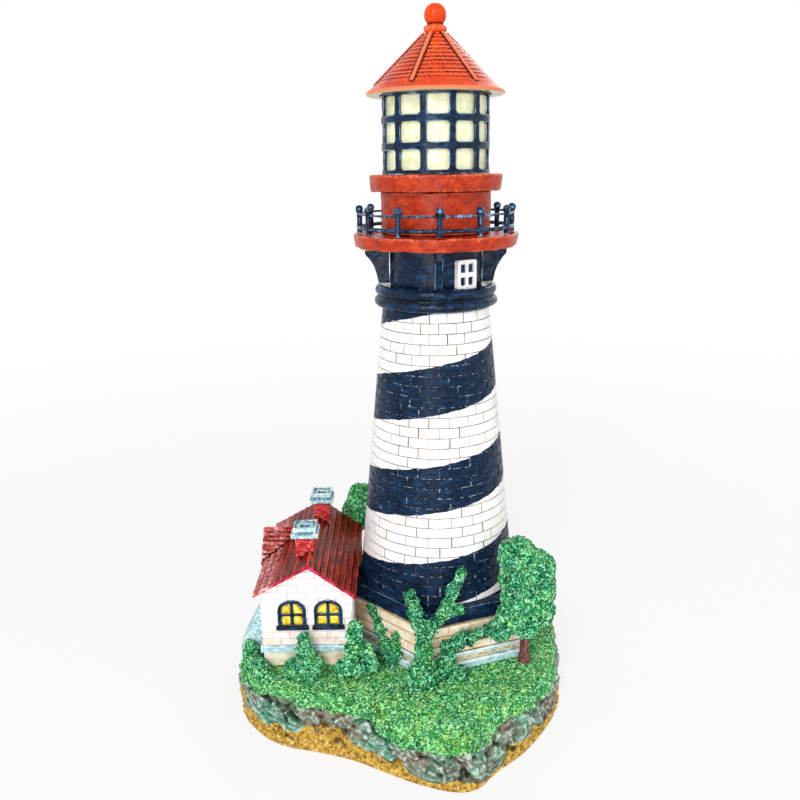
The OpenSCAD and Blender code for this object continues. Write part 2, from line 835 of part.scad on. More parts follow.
hedge = [
    [-113.5, -47, 37, 6.5], [-111.5, -54, 36, 6], [-107, -61, 37, 6], [-115, -42, 40, 4.2], [-102, -65, 36, 5]
];

module hedge_left() color(grass_c) difference() {
    leaf_balls(hedge);
    below(ground_z);
    cottage_block(0, 2);
    cellar_hatch();
}

// A branching plant made of limbs of leaf balls: a limb's ends and radius
module branches(limbs) {
    for (l = limbs) {
        n = ceil(norm(l[1] - l[0]) / l[2]);
        leaf_balls([
            for (k = [0 : n])
                let (swell = k % 2 == 0 ? 1.08 : 0.94)
                concat(l[0] + (l[1] - l[0]) * k / n, l[2] * swell)
        ]);
    }
}

module vine_front() color(grass_c) difference() {
    branches([
        [[-12, -76, 30], [-11, -74, 46], 6.4], [[-11, -74, 46], [-10, -69, 62], 5.2],
        [[-10, -69, 62], [-15, -59, 71], 4.6], [[-15, -59, 71], [-17.5, -54.6, 79.5], 4.2],
        [[-10, -69, 62], [1, -61, 71], 4.2], [[1, -61, 71], [7, -54.8, 81], 3.8],
        [[7, -54.8, 81], [12, -50.6, 91], 3.5], [[1, -61, 71], [11, -58, 72], 3.4]
    ]);
    below(ground_z);
    plinth_room();
    tower_room();
}

module creeper_right() color(grass_c) difference() {
    branches([
        [[1, -69, 37], [4, -64, 51], 4.6], [[4, -64, 51], [16, -59, 54], 4.2],
        [[16, -59, 54], [27, -55, 56], 3.4], [[1, -69, 37], [10, -68, 37], 3.6]
    ]);
    below(ground_z);
    plinth_room();
}

module vine_left() color(grass_c) difference() {
    branches([
        [[-31, -52, 32], [-33, -48, 44], 4], [[-33, -48, 44], [-38, -38, 54], 3.2],
        [[-38, -38, 54], [-42, -32, 60], 2.6], [[-31, -52, 32], [-27, -56, 42], 3.4],
        [[-27, -56, 42], [-27, -50.5, 50], 2.8]
    ]);
    below(ground_z);
    plinth_room();
    tower_room();
}

// ---------------------------------------------------------------- lamp and wiring

module lamp_post() color(plastic_c) {
    foot_r = 12;
    board_z = lamp_z - 1.6;
    difference() {
        union() {
            translate([0, 0, cage_z]) cylinder(r = foot_r, h = 2);
            translate([0, 0, cage_z]) cylinder(r = 4.6, h = board_z - cage_z);
        }
        translate([0, 0, cage_z - 1]) cylinder(r = 3, h = 40);
    }
}

module led_board() color("darkgreen") translate([0, 0, lamp_z - 1.6]) cylinder(r = 8, h = 1.6);

module led_lamp() color("white") translate([0, 0, lamp_z]) {
    cylinder(r = 5, h = 5);
    translate([0, 0, 5]) sphere(r = 5);
    cylinder(r = 5.8, h = 1);
}

module lamp_wire() color("red") swept(wire_route, wire_r, 4);

module battery_wire() color("red") swept(battery_route, wire_r, 3);

// ---------------------------------------------------------------- underside

box_corner = [box_at[0] - box_w / 2, box_at[1] - box_l / 2];

module base_plate() color(plastic_c) difference() {
    shore_prism(rebate_in + 0.3, 0, plate_t);
    translate([box_corner[0], box_corner[1], -1]) cube([box_w, box_l, plate_t + 2]);
    translate([switch_at[0] - slot_l / 2, switch_at[1] - slot_w / 2, -1]) cube([slot_l, slot_w, plate_t + 2]);
    for (s = screw_spots) translate([s[0], s[1], 0]) {
        translate([0, 0, -1]) cylinder(r = screw_r + 0.1, h = plate_t + 2);
        translate([0, 0, -1]) cylinder(r = 3.2, h = 2.6);
    }
    translate([box_corner[0] - 3, box_corner[1] + hinge_z, hinge_z]) rotate([0, 90, 0])
        cylinder(r = hinge_r + 0.02, h = box_w + 6, $fn = 24);
    translate([box_at[0] - 6, box_corner[1] + box_l - 1, -1]) cube([12, 4, 2.2]);
}

module base_seal() color("dimgray") difference() {
    shore_prism(rebate_in + 0.3, plate_t, plate_t + seal_t);
    shore_prism(cavity_in - 0.3, plate_t - 1, plate_t + seal_t + 1);
    for (s = screw_spots) translate([s[0], s[1], 0]) cylinder(r = 5.3, h = 10);
}

module base_screws() color(metal_c) for (s = screw_spots) translate([s[0], s[1], 0]) difference() {
    union() {
        translate([0, 0, 0.5]) cylinder(r = 3, h = 1.1);
        translate([0, 0, 1.6]) cylinder(r = screw_r, h = 14);
    }
    for (turn = [0, 90]) rotate([0, 0, turn]) translate([-1.8, -0.3, 0]) cube([3.6, 0.6, 1.1]);
}

module battery_box() color(plastic_c) {
    z0 = plate_t;
    difference() {
        union() {
            translate([box_corner[0] - box_t, box_corner[1] - box_t, z0])
                cube([box_w + 2 * box_t, box_l + 2 * box_t, box_h + box_t]);
            translate([box_corner[0] - 5, box_corner[1] - 5, z0]) cube([box_w + 10, box_l + 10, 1.5]);
        }
        translate([box_corner[0], box_corner[1], z0 - 1]) cube([box_w, box_l, box_h + 1]);
    }
}

cell_axis_z = plate_t + box_h - cell_d / 2 - 0.3;
contact_t = 0.5;

// How far a cell lies towards the contact plate at its button end, which leaves the spring twice that
cell_shift = (box_l - cell_l) / 2 - contact_t;

// Middle of one cell's row across the box
function cell_x(k) = box_at[0] + (k - (cells - 1) / 2) * (cell_d + 0.6);

// Which way round a cell lies: they are connected in series, so every second one is turned
function cell_dir(k) = k % 2 == 0 ? 1 : -1;

module battery_cells() color("goldenrod") for (k = [0 : cells - 1])
    translate([cell_x(k), box_at[1] + cell_dir(k) * cell_shift, cell_axis_z])
        rotate([-90 * cell_dir(k), 0, 0]) {
            translate([0, 0, -cell_l / 2]) cylinder(r = cell_d / 2, h = cell_l - 1.2);
            translate([0, 0, cell_l / 2 - 1.2]) cylinder(r = 2.75, h = 1.2);
        }

module battery_springs() color(metal_c) for (k = [0 : cells - 1])
    translate([cell_x(k), box_at[1] - cell_dir(k) * (box_l / 2 - contact_t), cell_axis_z])
        rotate([-90 * cell_dir(k), 0, 0]) difference() {
            cylinder(r1 = 5, r2 = 3, h = 2 * cell_shift);
            translate([0, 0, -1]) cylinder(r = 2.2, h = 2 * cell_shift + 2);
        }

module contact_plates() color(metal_c) for (k = [0 : cells - 1], end = [-1, 1])
    translate([cell_x(k), box_at[1] + end * (box_l - contact_t) / 2, cell_axis_z])
        cube([11, contact_t, 11], center = true);

module battery_door() color(plastic_c) difference() {
    union() {
        translate([box_corner[0] + door_gap, box_corner[1] + hinge_z, 0.3])
            cube([box_w - 2 * door_gap, box_l - hinge_z - door_gap, door_t]);
        translate([box_corner[0] + door_gap, box_corner[1] + hinge_z, hinge_z])
            rotate([0, 90, 0]) cylinder(r = 1.15, h = box_w - 2 * door_gap, $fn = 32);
        translate([box_at[0] - 5, box_corner[1] + box_l - 1, 0.3]) cube([10, 2.4, 0.8]);
    }
    translate([box_corner[0] - 1, box_corner[1] + hinge_z, hinge_z])
        rotate([0, 90, 0]) cylinder(r = hinge_r + 0.06, h = box_w + 2, $fn = 32);
    for (k = [0 : 4]) translate([box_at[0] - 8, box_corner[1] + box_l - 8 - 2.4 * k, 0]) cube([16, 1, 0.7]);
}

module door_hinge_pin() color(metal_c)
    translate([box_corner[0] - 2.5, box_corner[1] + hinge_z, hinge_z])
        rotate([0, 90, 0]) cylinder(r = hinge_r, h = box_w + 5, $fn = 24);

switch_travel = 4;
slider_w = 3.4;

module switch_body() color(plastic_c) difference() {
    translate([switch_at[0] - 8, switch_at[1] - 4, plate_t]) cube([16, 8, 7]);
    translate([switch_at[0] - slot_l / 2, switch_at[1] - slot_w / 2, plate_t - 1]) cube([slot_l, slot_w, 5]);
}

module switch_slider() color("gray")
    translate([switch_at[0] - slot_l / 2 + 0.4, switch_at[1] - slider_w / 2, 0.8])
        cube([slot_l - switch_travel - 0.8, slider_w, plate_t + 2.6]);

// ---------------------------------------------------------------- the whole part

island_base();
kerb_lower();
kerb_upper();
stone_plinth();
plinth_ledge();
tower_shaft();
neck_rings();
corbel_drum();
gallery_brackets();
gallery_window();
gallery_window_glass();
gallery_deck();
gallery_railing();
watch_room();
lantern_deck();
lantern_cage();
lantern_panes();
lantern_roof();
roof_finial();
cottage_footing();
cottage_band();
cottage_walls();
cottage_roof();
chimney_front();
chimney_front_cap();
chimney_rear();
chimney_rear_cap();
window_left();
window_right();
window_left_glass();
window_right_glass();
cellar_hatch();
tree_trunk();
tree_crown();
rear_tree_trunk();
rear_tree_crown();
bush_front();
bush_corner();
hedge_left();
vine_front();
creeper_right();
vine_left();
led_lamp();
led_board();
lamp_post();
lamp_wire();
battery_wire();
base_plate();
base_seal();
base_screws();
battery_box();
battery_cells();
battery_springs();
contact_plates();
battery_door();
door_hinge_pin();
switch_body();
switch_slider();
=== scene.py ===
"""The garden lighthouse ornament as hand-painted cast resin.

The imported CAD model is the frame. Pieces that are cast are remeshed copies of their CAD solids with
soft edges and slightly uneven walls, and brick, stone, leaves, rock and grass are modelled here.
"""

import json
import math

import bmesh
import bpy
import numpy as np
from mathutils import Matrix, Vector, noise


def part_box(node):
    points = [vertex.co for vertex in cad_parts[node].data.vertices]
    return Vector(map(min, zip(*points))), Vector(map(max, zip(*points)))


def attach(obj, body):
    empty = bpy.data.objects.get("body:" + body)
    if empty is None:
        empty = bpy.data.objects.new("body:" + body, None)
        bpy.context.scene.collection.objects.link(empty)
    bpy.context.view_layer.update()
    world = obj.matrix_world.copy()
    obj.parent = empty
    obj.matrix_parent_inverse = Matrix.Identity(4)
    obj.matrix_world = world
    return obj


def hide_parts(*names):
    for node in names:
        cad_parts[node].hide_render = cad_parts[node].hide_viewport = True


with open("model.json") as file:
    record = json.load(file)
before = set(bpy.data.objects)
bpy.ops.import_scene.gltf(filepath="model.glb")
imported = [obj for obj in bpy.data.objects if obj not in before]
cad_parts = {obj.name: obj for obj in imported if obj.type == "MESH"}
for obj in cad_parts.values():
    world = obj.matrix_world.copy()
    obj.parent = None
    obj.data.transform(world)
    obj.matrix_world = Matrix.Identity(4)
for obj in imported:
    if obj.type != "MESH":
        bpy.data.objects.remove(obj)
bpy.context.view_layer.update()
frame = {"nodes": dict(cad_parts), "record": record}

bl_info = {
    "name": "Garden lighthouse ornament",
    "version": (1, 0, 0),
    "blender": (4, 5, 0),
    "location": "View3D > Sidebar > Lighthouse",
    "description": "Makes the painted pieces of a garden lighthouse over its CAD frame",
    "category": "Object",
}

MM = 0.001
SLOT = {part["node"]: part["material_slot"] for part in frame["record"]["subparts"]}

# Outline of the island at the water's edge, in millimetres, anticlockwise from the left
SHORE = [
    (-128, -28), (-124, -42), (-119, -59), (-105, -76), (-90, -85), (-72, -90), (-52, -97),
    (-33, -107), (-15, -116), (4, -122), (17, -120), (29, -108), (46, -93), (59, -77),
    (70, -59), (76, -40), (80, -14), (82, 14), (76, 44), (56, 68), (24, 84), (-14, 90),
    (-52, 86), (-88, 75), (-115, 52), (-127, 14),
]
HEART = Vector((-24, -15))
# Each ring of the bank: height, distance in from the shore, how far the rocks show in it, and how
# much further in it lies at the front point
BANK = [
    (0, 2, 0, 0), (2.8, 0.2, 0.1, 0), (5.6, 0.8, 0.4, 0), (8, 2.6, 1, 0), (10.4, 2.9, 1, 0.2),
    (12.8, 3.2, 1, 0.4), (15.2, 3.5, 1, 0.6), (17.6, 3.8, 1, 0.8), (20, 4.1, 1, 1),
    (22.5, 4.1, 0.9, 2.5), (25, 4.4, 0.6, 4), (28, 4.8, 0.3, 6.5), (31, 5.6, 0.1, 11),
    (33, 6.8, 0, 15.5), (34, 8, 0, 19),
]
CRAG, CLEFT_SHARE, ROCK_HALF_W, ROCK_HALF_H = 5.6, 0.5, 0.58, 6.6
# Points on each side of the island, rings up its bank and over its top, and its hollow's two levels
SHORE_STEPS, BANK_RINGS, TOP_RINGS, CEILING_Z, FOOT_Z = 28, 60, 50, 26, 4
LEAD_HOLE_R, BANK_TOP_Z = 4.5, 34
# The faces of the plinth: bearing of each and its distance from the tower's axis at the ledge
PLINTH = [(-43, 49.5), (19, 53.5), (78, 52), (138, 52), (198, 52), (258, 50.5)]
STONE_FOOT_Z, STONE_H, STONE_SPREAD, STONE_COURSES, STONE_JOINT = 44, 16, 4.25, 3, 0.32
# A block cut shorter than this is left out
SLIVER = 1.6

# Cottage walls, roof planes and windows, in millimetres
WALL_X, WALL_Y = (-105, -51.5), (-55, 33)
RIDGE_X, RIDGE_Z, SLOPES = -76.2, 102.5, (0.547, 0.7425)
WING_X, WING_Y, WING_Z, WING_SLOPE = -107, 14, 99.4, 0.9
BAND_Z, BOARD_T = 48.5, 3
WINDOW_X, WINDOW_Z, WINDOW_WIDER = (-87, -65.8), 61, 1.2

# The tower's brick shaft, in millimetres
SHAFT_Z0, SHAFT_Z1, SHAFT_TOP_R, SHAFT_TAPER, SHAFT_SIDES = 69, 241, 31.4, 0.101, 120

# The setting that a word after a node's kind stands for
MODES = {
    "Math": "operation", "VectorMath": "operation", "MapRange": "interpolation_type",
    "Mix": "data_type", "Attribute": "attribute_name",
}


# ------------------------------------------------------------------ colours, nodes and meshes


def linear(colour):
    """An sRGB hex colour as linear red, green, blue and alpha."""
    parts = [int(colour[i : i + 2], 16) / 255 for i in (1, 3, 5)]
    return tuple(c / 12.92 if c <= 0.04045 else ((c + 0.055) / 1.055) ** 2.4 for c in parts) + (1,)


def add(tree, kind, *values, out=0, stops=None, **settings):
    """Adds a node with its settings and its ramp's stops, and gives one of its outputs, or all.

    The values fill its inputs in order, or as a dict says. Each is another node's output, which is
    linked, or a plain value, and hex colours are made linear.
    """
    kind, *mode = kind.split()
    node = tree.nodes.new(kind if "Node" in kind else "ShaderNode" + kind)
    if mode:
        settings[MODES[kind]] = mode[0]
    for key, value in settings.items():
        setattr(node, key, value)
    if stops:
        elements = node.color_ramp.elements
        elements.remove(elements[1])
        for i, (place, colour) in enumerate(stops):
            element = elements.new(place) if i else elements[0]
            element.position, element.color = place, linear(colour)
    inputs = values[0] if values and isinstance(values[0], dict) else dict(enumerate(values))
    for key, value in inputs.items():
        if isinstance(value, bpy.types.NodeSocket):
            tree.links.new(value, node.inputs[key])
        else:
            node.inputs[key].default_value = linear(value) if str(value).startswith("#") else value
    return node.outputs[out] if node.outputs and out is not None else node.outputs


def speckle(tree, place, size, detail=2, roughness=0.6, squeeze=None):
    """Blotches of a size in millimetres, from 0 to 1. Squeezed along an axis, they lie across it."""
    if squeeze:
        place = add(tree, "VectorMath MULTIPLY", place, squeeze)
    return add(tree, "TexNoise", {
        "Vector": place, "Scale": 1 / (size * MM), "Detail": detail, "Roughness": roughness})


def patches(tree, place, size, tones, detail=4, spread=0.16, squeeze=None):
    """Paint that drifts between tones, from dark to light, over patches of a size in millimetres."""
    last = len(tones) - 1
    stops = [(0.5 + spread * (2 * i / last - 1), tone) for i, tone in enumerate(tones)]
    return add(tree, "ValToRGB", speckle(tree, place, size, detail, 0.62, squeeze), stops=stops)


def coated(tree, colour, coat, value, low, high, at_low=0, at_high=1):
    """A colour under a coat of another, whose share goes from at_low to at_high with the value."""
    share = add(tree, "MapRange SMOOTHSTEP", value, low, high, at_low, at_high)
    return add(tree, "Mix RGBA", {0: share, 6: colour, 7: coat}, out=2)


def wash_and_painted_light(tree, colour, wash, brush_and_highlight, low=0.42, high=0.62, strength=0.9):
    """A dark wash and painted shade lie in the hollows of the relief, and dry-brushing and a painted
    highlight lie on its edges.
    """
    relief = add(tree, "Attribute relief", out="Fac")
    colour = coated(tree, colour, wash, relief, low - 0.16, low, strength, 0)
    return coated(tree, colour, brush_and_highlight, relief, high, high + 0.2, 0, strength)


def curls(tree, place, size):
    """Crests of short curly strokes carved close together, from 0 between them to 1 on top."""
    field = add(tree, "TexNoise", {
        "Vector": place, "Scale": 1 / (size * MM), "Detail": 0, "Distortion": 0.8})
    wave = add(tree, "Math FRACT", add(tree, "Math MULTIPLY", field, 2.6))
    off = add(tree, "Math ABSOLUTE", add(tree, "Math SUBTRACT", wave, 0.5))
    return add(tree, "MapRange SMOOTHSTEP", off, 0.12, 0.4)


def varnish(tree, place, colour, rough, specular=0.3, grain=0.7, depth=0.06, squeeze=None, carved=None):
    """Finishes a paint: its gloss, and the fine unevenness of a grain size in millimetres."""
    fine = speckle(tree, place, grain, 3, 0.6, squeeze)
    bump = {"Height": fine, "Strength": 0.6, "Distance": depth * MM}
    if carved:
        bump["Normal"] = add(tree, "Bump", {"Height": carved, "Strength": 1, "Distance": 0.7 * MM})
    gloss = add(tree, "MapRange SMOOTHSTEP", fine, 0.35, 0.65, rough - 0.07, rough + 0.09)
    add(tree, "OutputMaterial", add(tree, "BsdfPrincipled", {
        "Base Color": colour, "Roughness": gloss, "Normal": add(tree, "Bump", bump),
        "Specular IOR Level": specular}))


def coords(mesh, what="co"):
    """The place of each vertex, or its normal, as rows of x, y and z."""
    values = np.empty(len(mesh.vertices) * 3, np.float32)
    mesh.vertices.foreach_get(what, values)
    return values.reshape(-1, 3).astype(float)


def set_coords(mesh, co):
    mesh.vertices.foreach_set("co", co.astype(np.float32).ravel())
    mesh.update()


def store(mesh, name, values):
    """Keeps a number for each vertex, for the paint or the scatter to read."""
    layer = mesh.attributes.get(name) or mesh.attributes.new(name, "FLOAT", "POINT")
    layer.data.foreach_set("value", np.asarray(values, np.float32))


def lumps(co, size, seed):
    """Smooth noise from -1 to 1 at each point, with a wavelength in millimetres (one, or x, y, z)."""
    scaled = co / (np.array(size) * MM) + (seed * 7.31, seed * 3.17, seed * 1.93)
    return np.array([noise.noise(Vector(p)) for p in scaled])


def step(low, high, values):
    """0 below low, 1 above high, and a smooth rise between."""
    t = np.clip((values - low) / (high - low), 0, 1)
    return t * t * (3 - 2 * t)


def store_relief(mesh, gain, blur):
    """Keeps at each vertex how far it stands out from its neighbours: 0.5 is flat, 1 an edge."""
    co, n = coords(mesh), len(mesh.vertices)
    pairs = np.empty(len(mesh.edges) * 2, np.int32)
    mesh.edges.foreach_get("vertices", pairs)
    a, b = pairs.reshape(-1, 2).T
    count = np.bincount(pairs, minlength=n).clip(1)

    def around(values):
        sums = [np.bincount(a, v[b], n) + np.bincount(b, v[a], n) for v in values.T]
        return (np.array(sums) / count).T

    size = np.linalg.norm(co[a] - co[b], axis=1).mean()
    bend = -((around(co) - co) * coords(mesh, "normal")).sum(1, keepdims=True) / size
    for _ in range(blur):
        bend = (bend + around(bend)) / 2
    store(mesh, "relief", (0.5 + gain * bend[:, 0]).clip(0, 1))


def baked(obj):
    """The object's mesh with its modifiers applied; the modifiers are removed."""
    depsgraph = bpy.context.evaluated_depsgraph_get()
    depsgraph.update()
    mesh = bpy.data.meshes.new_from_object(obj.evaluated_get(depsgraph))
    obj.modifiers.clear()
    return mesh


def holder(name, mesh):
    """An object in the scene for a mesh, a lamp or a camera."""
    obj = bpy.data.objects.new(name, mesh)
    bpy.context.scene.collection.objects.link(obj)
    return obj


def piece(name, mesh, slot, materials, replaces=(), body="root", smooth=True):
    """A finished piece that rides on a body. Its slot is not used."""
    obj = holder(name, mesh)
    mesh.materials.clear()
    for mat in materials:
        mesh.materials.append(mat)
    mesh.polygons.foreach_set("use_smooth", [smooth] * len(mesh.polygons))
    if replaces:
        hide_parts(*replaces)
    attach(obj, body)
    return obj


def merged(node):
    """A copy of a CAD solid's mesh with its loose triangles joined."""
    mesh = frame["nodes"][node].data.copy()
    bm = bmesh.new()
    bm.from_mesh(mesh)
    bmesh.ops.remove_doubles(bm, verts=bm.verts, dist=0.001 * MM)
    bm.to_mesh(mesh)
    bm.free()
    if "custom_normal" in mesh.attributes:
        mesh.attributes.remove(mesh.attributes["custom_normal"])
    return mesh


def remeshed(node, voxel):
    """A closed copy of a CAD solid whose edges are softened by a voxel in millimetres."""
    obj = holder("remesh_" + node, merged(node))
    modifier = obj.modifiers.new("Cast", "REMESH")
    modifier.mode = "VOXEL"
    modifier.voxel_size = voxel * MM
    mesh = baked(obj)
    bpy.data.objects.remove(obj)
    return mesh


def cast(node, mat, voxel, uneven, size, fine, gain=2.2, body="root", wider=None):
    """A cast copy of a CAD node: softened edges, walls that wander, and its relief kept for the paint.

    wider is a place along X and a share: the piece is drawn out from that place.
    """
    mesh = remeshed(node, voxel)
    co = coords(mesh)
    out = uneven * lumps(co, size, 0) + fine * lumps(co, 1.6, 5)
    lowest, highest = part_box(node)
    out = (out - max(uneven, fine) * 0.6)[:, None] * MM
    co = np.clip(co + coords(mesh, "normal") * out, lowest, highest)
    if wider:
        co[:, 0] = wider[0] * MM + (co[:, 0] - wider[0] * MM) * wider[1]
    set_coords(mesh, co)
    store_relief(mesh, gain, 1)
    return piece(node + "_cast", mesh, SLOT[node], [mat], [node], body)


def finish_node(node, mat):
    """Gives a CAD node that keeps its own shape its material."""
    mesh = frame["nodes"][node].data
    if not mesh.materials:
        mesh.materials.append(mat)
    for i in range(len(mesh.materials)):
        mesh.materials[i] = mat


def new_tree(name, sockets):
    """An empty Geometry Nodes tree with named inputs, and the outputs of its input node."""
    tree = bpy.data.node_groups.new(name, "GeometryNodeTree")
    for label, kind, default in sockets:
        socket = tree.interface.new_socket(label, in_out="INPUT", socket_type="NodeSocket" + kind)
        if default is not None:
            socket.default_value = default
    tree.interface.new_socket("Geometry", in_out="OUTPUT", socket_type="NodeSocketGeometry")
    return tree, add(tree, "NodeGroupInput", out=None)


def grown(mesh, tree, values):
    """The mesh that a Geometry Nodes tree makes from a mesh and named inputs."""
    obj = holder("grow", mesh)
    modifier = obj.modifiers.new("Grow", "NODES")
    modifier.node_group = tree
    for item in tree.interface.items_tree:
        if item.in_out == "INPUT" and item.name in values:
            modifier[item.identifier] = values[item.name]
    result = baked(obj)
    bpy.data.objects.remove(obj)
    return result


# ------------------------------------------------------------------ finishes


def painted_resin(tree, place, tones, size, rough=0.45, wash=None, brush_and_highlight=None, specular=0.3, grain=0.7,
                  depth=0.06, low=0.42, high=0.6, strength=0.9, squeeze=None):
    """Acrylic paint on cast polyresin under a clear varnish, with a wash and painted shade in the
    hollows, and dry-brushing and a painted highlight on the edges.
    """
    colour = patches(tree, place, size, tones, squeeze=squeeze)
    if wash:
        colour = wash_and_painted_light(tree, colour, wash, brush_and_highlight, low, high, strength)
    varnish(tree, place, colour, rough, specular, grain, depth, squeeze)


SKY_BLUES = ["#7fb6c8", "#a5d2de", "#c9e8ee", "#eef8f8"]

# What painted_resin is given for each finish: its tones, the size of their patches in millimetres, its
# roughness, and then the wash with its painted shade, the dry-brushed colour with its painted highlight,
# and the rest in the order above
PAINTS = {
    # Navy acrylic under gloss varnish: near black in the hollows as a wash and painted shade, and blue on
    # the edges as a painted highlight
    "navy_gloss_varnish": (["#06101f", "#0b1b32", "#122a48", "#1f4468"], 7, 0.2, "#02050a", "#84aed4",
                           0.16, 1.8, 0.2, 0.44, 0.63, 0.9, (1, 1, 2.2)),
    # Brick-red acrylic, stippled, dark brown in the hollows as a wash and painted shade and orange on the
    # edges as dry-brushing and a painted highlight; satin varnish
    "brick_red_acrylic": (["#962610", "#ac3012", "#ba3816", "#c84824"], 6, 0.3, "#4e1006", "#e87a58",
                          0.2, 1.3, 0.22, 0.46, 0.62, 0.7, (1, 1, 1.8)),
    # Milky cream resin, which the lamp shines through: even, slightly cloudy, satin, with painted shade
    # against the bars and a white painted highlight on raised edges
    "milky_pane_resin": (["#d8ddb0", "#e9edc4", "#f6f8de"], 5, 0.3, "#b9b98c", "#ffffff",
                         0.35, 2.4, 0.1, 0.4, 0.7, 0.6),
    # Pale sky-blue acrylic brushed thinly over white, with darker blue strokes, a blue-grey wash and
    # painted shade in the hollows, and near-white dry-brushing and a painted highlight on the edges
    "sky_blue_acrylic": (SKY_BLUES, 2.6, 0.45, "#4d6a74", "#f6fbfa",
                         0.3, 0.8, 0.16, 0.44, 0.6, 0.9, (1, 1, 2)),
    # Cream stone blocks with a warm brown wash and painted shade that settle along their edges, and pale
    # dry-brushing and a painted highlight on their rims
    "cream_cast_stone": (["#f3d8aa", "#fbe6c4", "#fff3de", "#fffcf6"], 4.5, 0.5, "#c2905c", "#fffcf6",
                         0.3, 0.8, 0.18, 0.3, 0.7, 0.7),
    # Pale lilac-pink lines between the white bricks
    "lilac_joint": (["#c6adb6", "#d8c2c9", "#e8dbdf"], 4, 0.6, None, None, 0.3, 0.6),
    # Crimson brick with pink strokes, a dark wash and painted shade in the hollows, and pink dry-brushing
    # and a painted highlight on the edges
    "crimson_chimney": (["#8a1014", "#b81e22", "#d43638", "#f09498"], 1.9, 0.32, "#4d090d", "#f9bcc0",
                        0.35, 0.9, 0.2, 0.42, 0.6, 0.9, (1, 1, 2)),
    # Lamp-yellow glass paint, darkened to brown against the bars as painted shade, with pale yellow on
    # raised edges as a painted highlight
    "amber_glass_paint": (["#c98f16", "#efcf22", "#fbe84a", "#fff27a"], 2.6, 0.18, "#6b2f0c", "#fff59a",
                          0.5, 0.9, 0.08, 0.5, 0.85),
    # Thick white acrylic, grey in the hollows as a wash and painted shade, and white on the edges as a
    # painted highlight
    "white_frame_acrylic": (["#eef0f2", "#fbfbfc", "#ffffff"], 3, 0.35, "#a9b0b8", "#ffffff"),
    # Red-brown bark, dark in the hollows as a wash and painted shade, with chalky dry-brushing and a
    # painted highlight on the ridges
    "red_brown_bark": (["#4a211e", "#6d3a36", "#8f5a53"], 2, 0.55, "#2a1110", "#b98f86",
                       0.3, 0.7, 0.25, 0.42, 0.6, 0.9, (2, 2, 0.5)),
    # Injection-moulded ABS with a fine spark-eroded texture
    "black_abs": (["#18191b", "#202124", "#292a2d"], 6, 0.55, None, None, 0.3, 0.35, 0.05),
    "grey_abs": (["#63666b", "#74777c", "#85888d"], 6, 0.5, None, None, 0.3, 0.35, 0.05),
    # Glass-fibre board under green solder mask
    "green_solder_mask": (["#0f4a22", "#14602c", "#1b7436"], 3, 0.35),
    # Red PVC sleeve of the leads
    "red_pvc": (["#8e1414", "#a81a1a", "#bd2626"], 4, 0.4),
    # Closed-cell foam gasket: matt, with pores half a millimetre across
    "foam_gasket": (["#131313", "#1d1d1e", "#2b2b2c"], 1, 0.9, None, None, 0.3, 0.5, 0.2),
    # Printed plastic sleeve of a cell, copper and black
    "cell_sleeve": (["#33291f", "#4a3822", "#5e4526"], 8, 0.3),
}


def roof_red(tree, place):
    # Signal orange-red acrylic, glossy, brown in the laps as a wash and painted shade, with a painted
    # highlight and dry-brushing on the edges; the underside of the eave is cream
    colour = patches(tree, place, 9, ["#c8320c", "#e0440e", "#ee5618"])
    colour = wash_and_painted_light(tree, colour, "#4e0f05", "#f8825a", 0.48, 0.62, 0.95)
    up = add(tree, "SeparateXYZ", place, out=2)
    colour = coated(tree, colour, "#cdb488", up, 0.35695, 0.35725, 1, 0)
    varnish(tree, place, colour, 0.18, 0.12, 1.6, 0.12)


def kerb_paint(tree, place):
    # The same blue on the kerbs, with a course of cream stone left bare between the two steps
    blue = patches(tree, place, 2.6, SKY_BLUES, squeeze=(1, 1, 2))
    stone = patches(tree, place, 1.8, ["#a58a55", "#d9c08c", "#f1dfb4"])
    up = add(tree, "SeparateXYZ", place, out=2)
    colour = coated(tree, blue, stone, up, 0.0387, 0.0391)
    colour = coated(tree, colour, blue, up, 0.0412, 0.0418)
    # A grey-green wash and painted shade in the hollows, and near-white dry-brushing and a painted
    # highlight on the edges
    colour = wash_and_painted_light(tree, colour, "#4f5a50", "#f6fbfa", 0.42, 0.6)
    varnish(tree, place, colour, 0.45, 0.3, 0.8, 0.16)


def stone_joint(tree, place):
    # Brown mortar wash between the stones; the narrow ledges under each course are cream again
    wash = patches(tree, place, 2.4, ["#7a5230", "#a0744a", "#c49a6c"])
    stone = patches(tree, place, 3, ["#d8b684", "#f0d4a6", "#fde8c8"])
    upward = add(tree, "SeparateXYZ", add(tree, "NewGeometry", out="Normal"), out=2)
    varnish(tree, place, coated(tree, wash, stone, upward, 0.5, 0.9), 0.65, grain=0.6, depth=0.1)


def cottage_brick(tree, place):
    # White brick with a faint lilac cast, its sides tinted lilac as painted shade, and patches of warm
    # tan towards the foot of the wall
    colour = patches(tree, place, 5, ["#f0e9ec", "#fcf8f8", "#ffffff"])
    up = add(tree, "SeparateXYZ", place, out=2)
    blot = patches(tree, place, 7, ["#000000", "#ffffff"], spread=0.1)
    # Warm tan in patches, strongest at the foot of the wall and gone by 68 mm up
    lower_tan = add(tree, "Math MULTIPLY", add(tree, "MapRange SMOOTHSTEP", up, 0.047, 0.068, 0.75, 0), blot)
    colour = add(tree, "Mix RGBA", {0: lower_tan, 6: colour, 7: "#edc9a0"}, out=2)
    # The sides of each brick, where they turn into the joints, are tinted lilac as painted shade
    relief = add(tree, "Attribute relief", out="Fac")
    colour = coated(tree, colour, "#d5bcc4", relief, 0.15, 0.5, 0.5, 0)
    varnish(tree, place, colour, 0.45, 0.3, 0.9, 0.14)


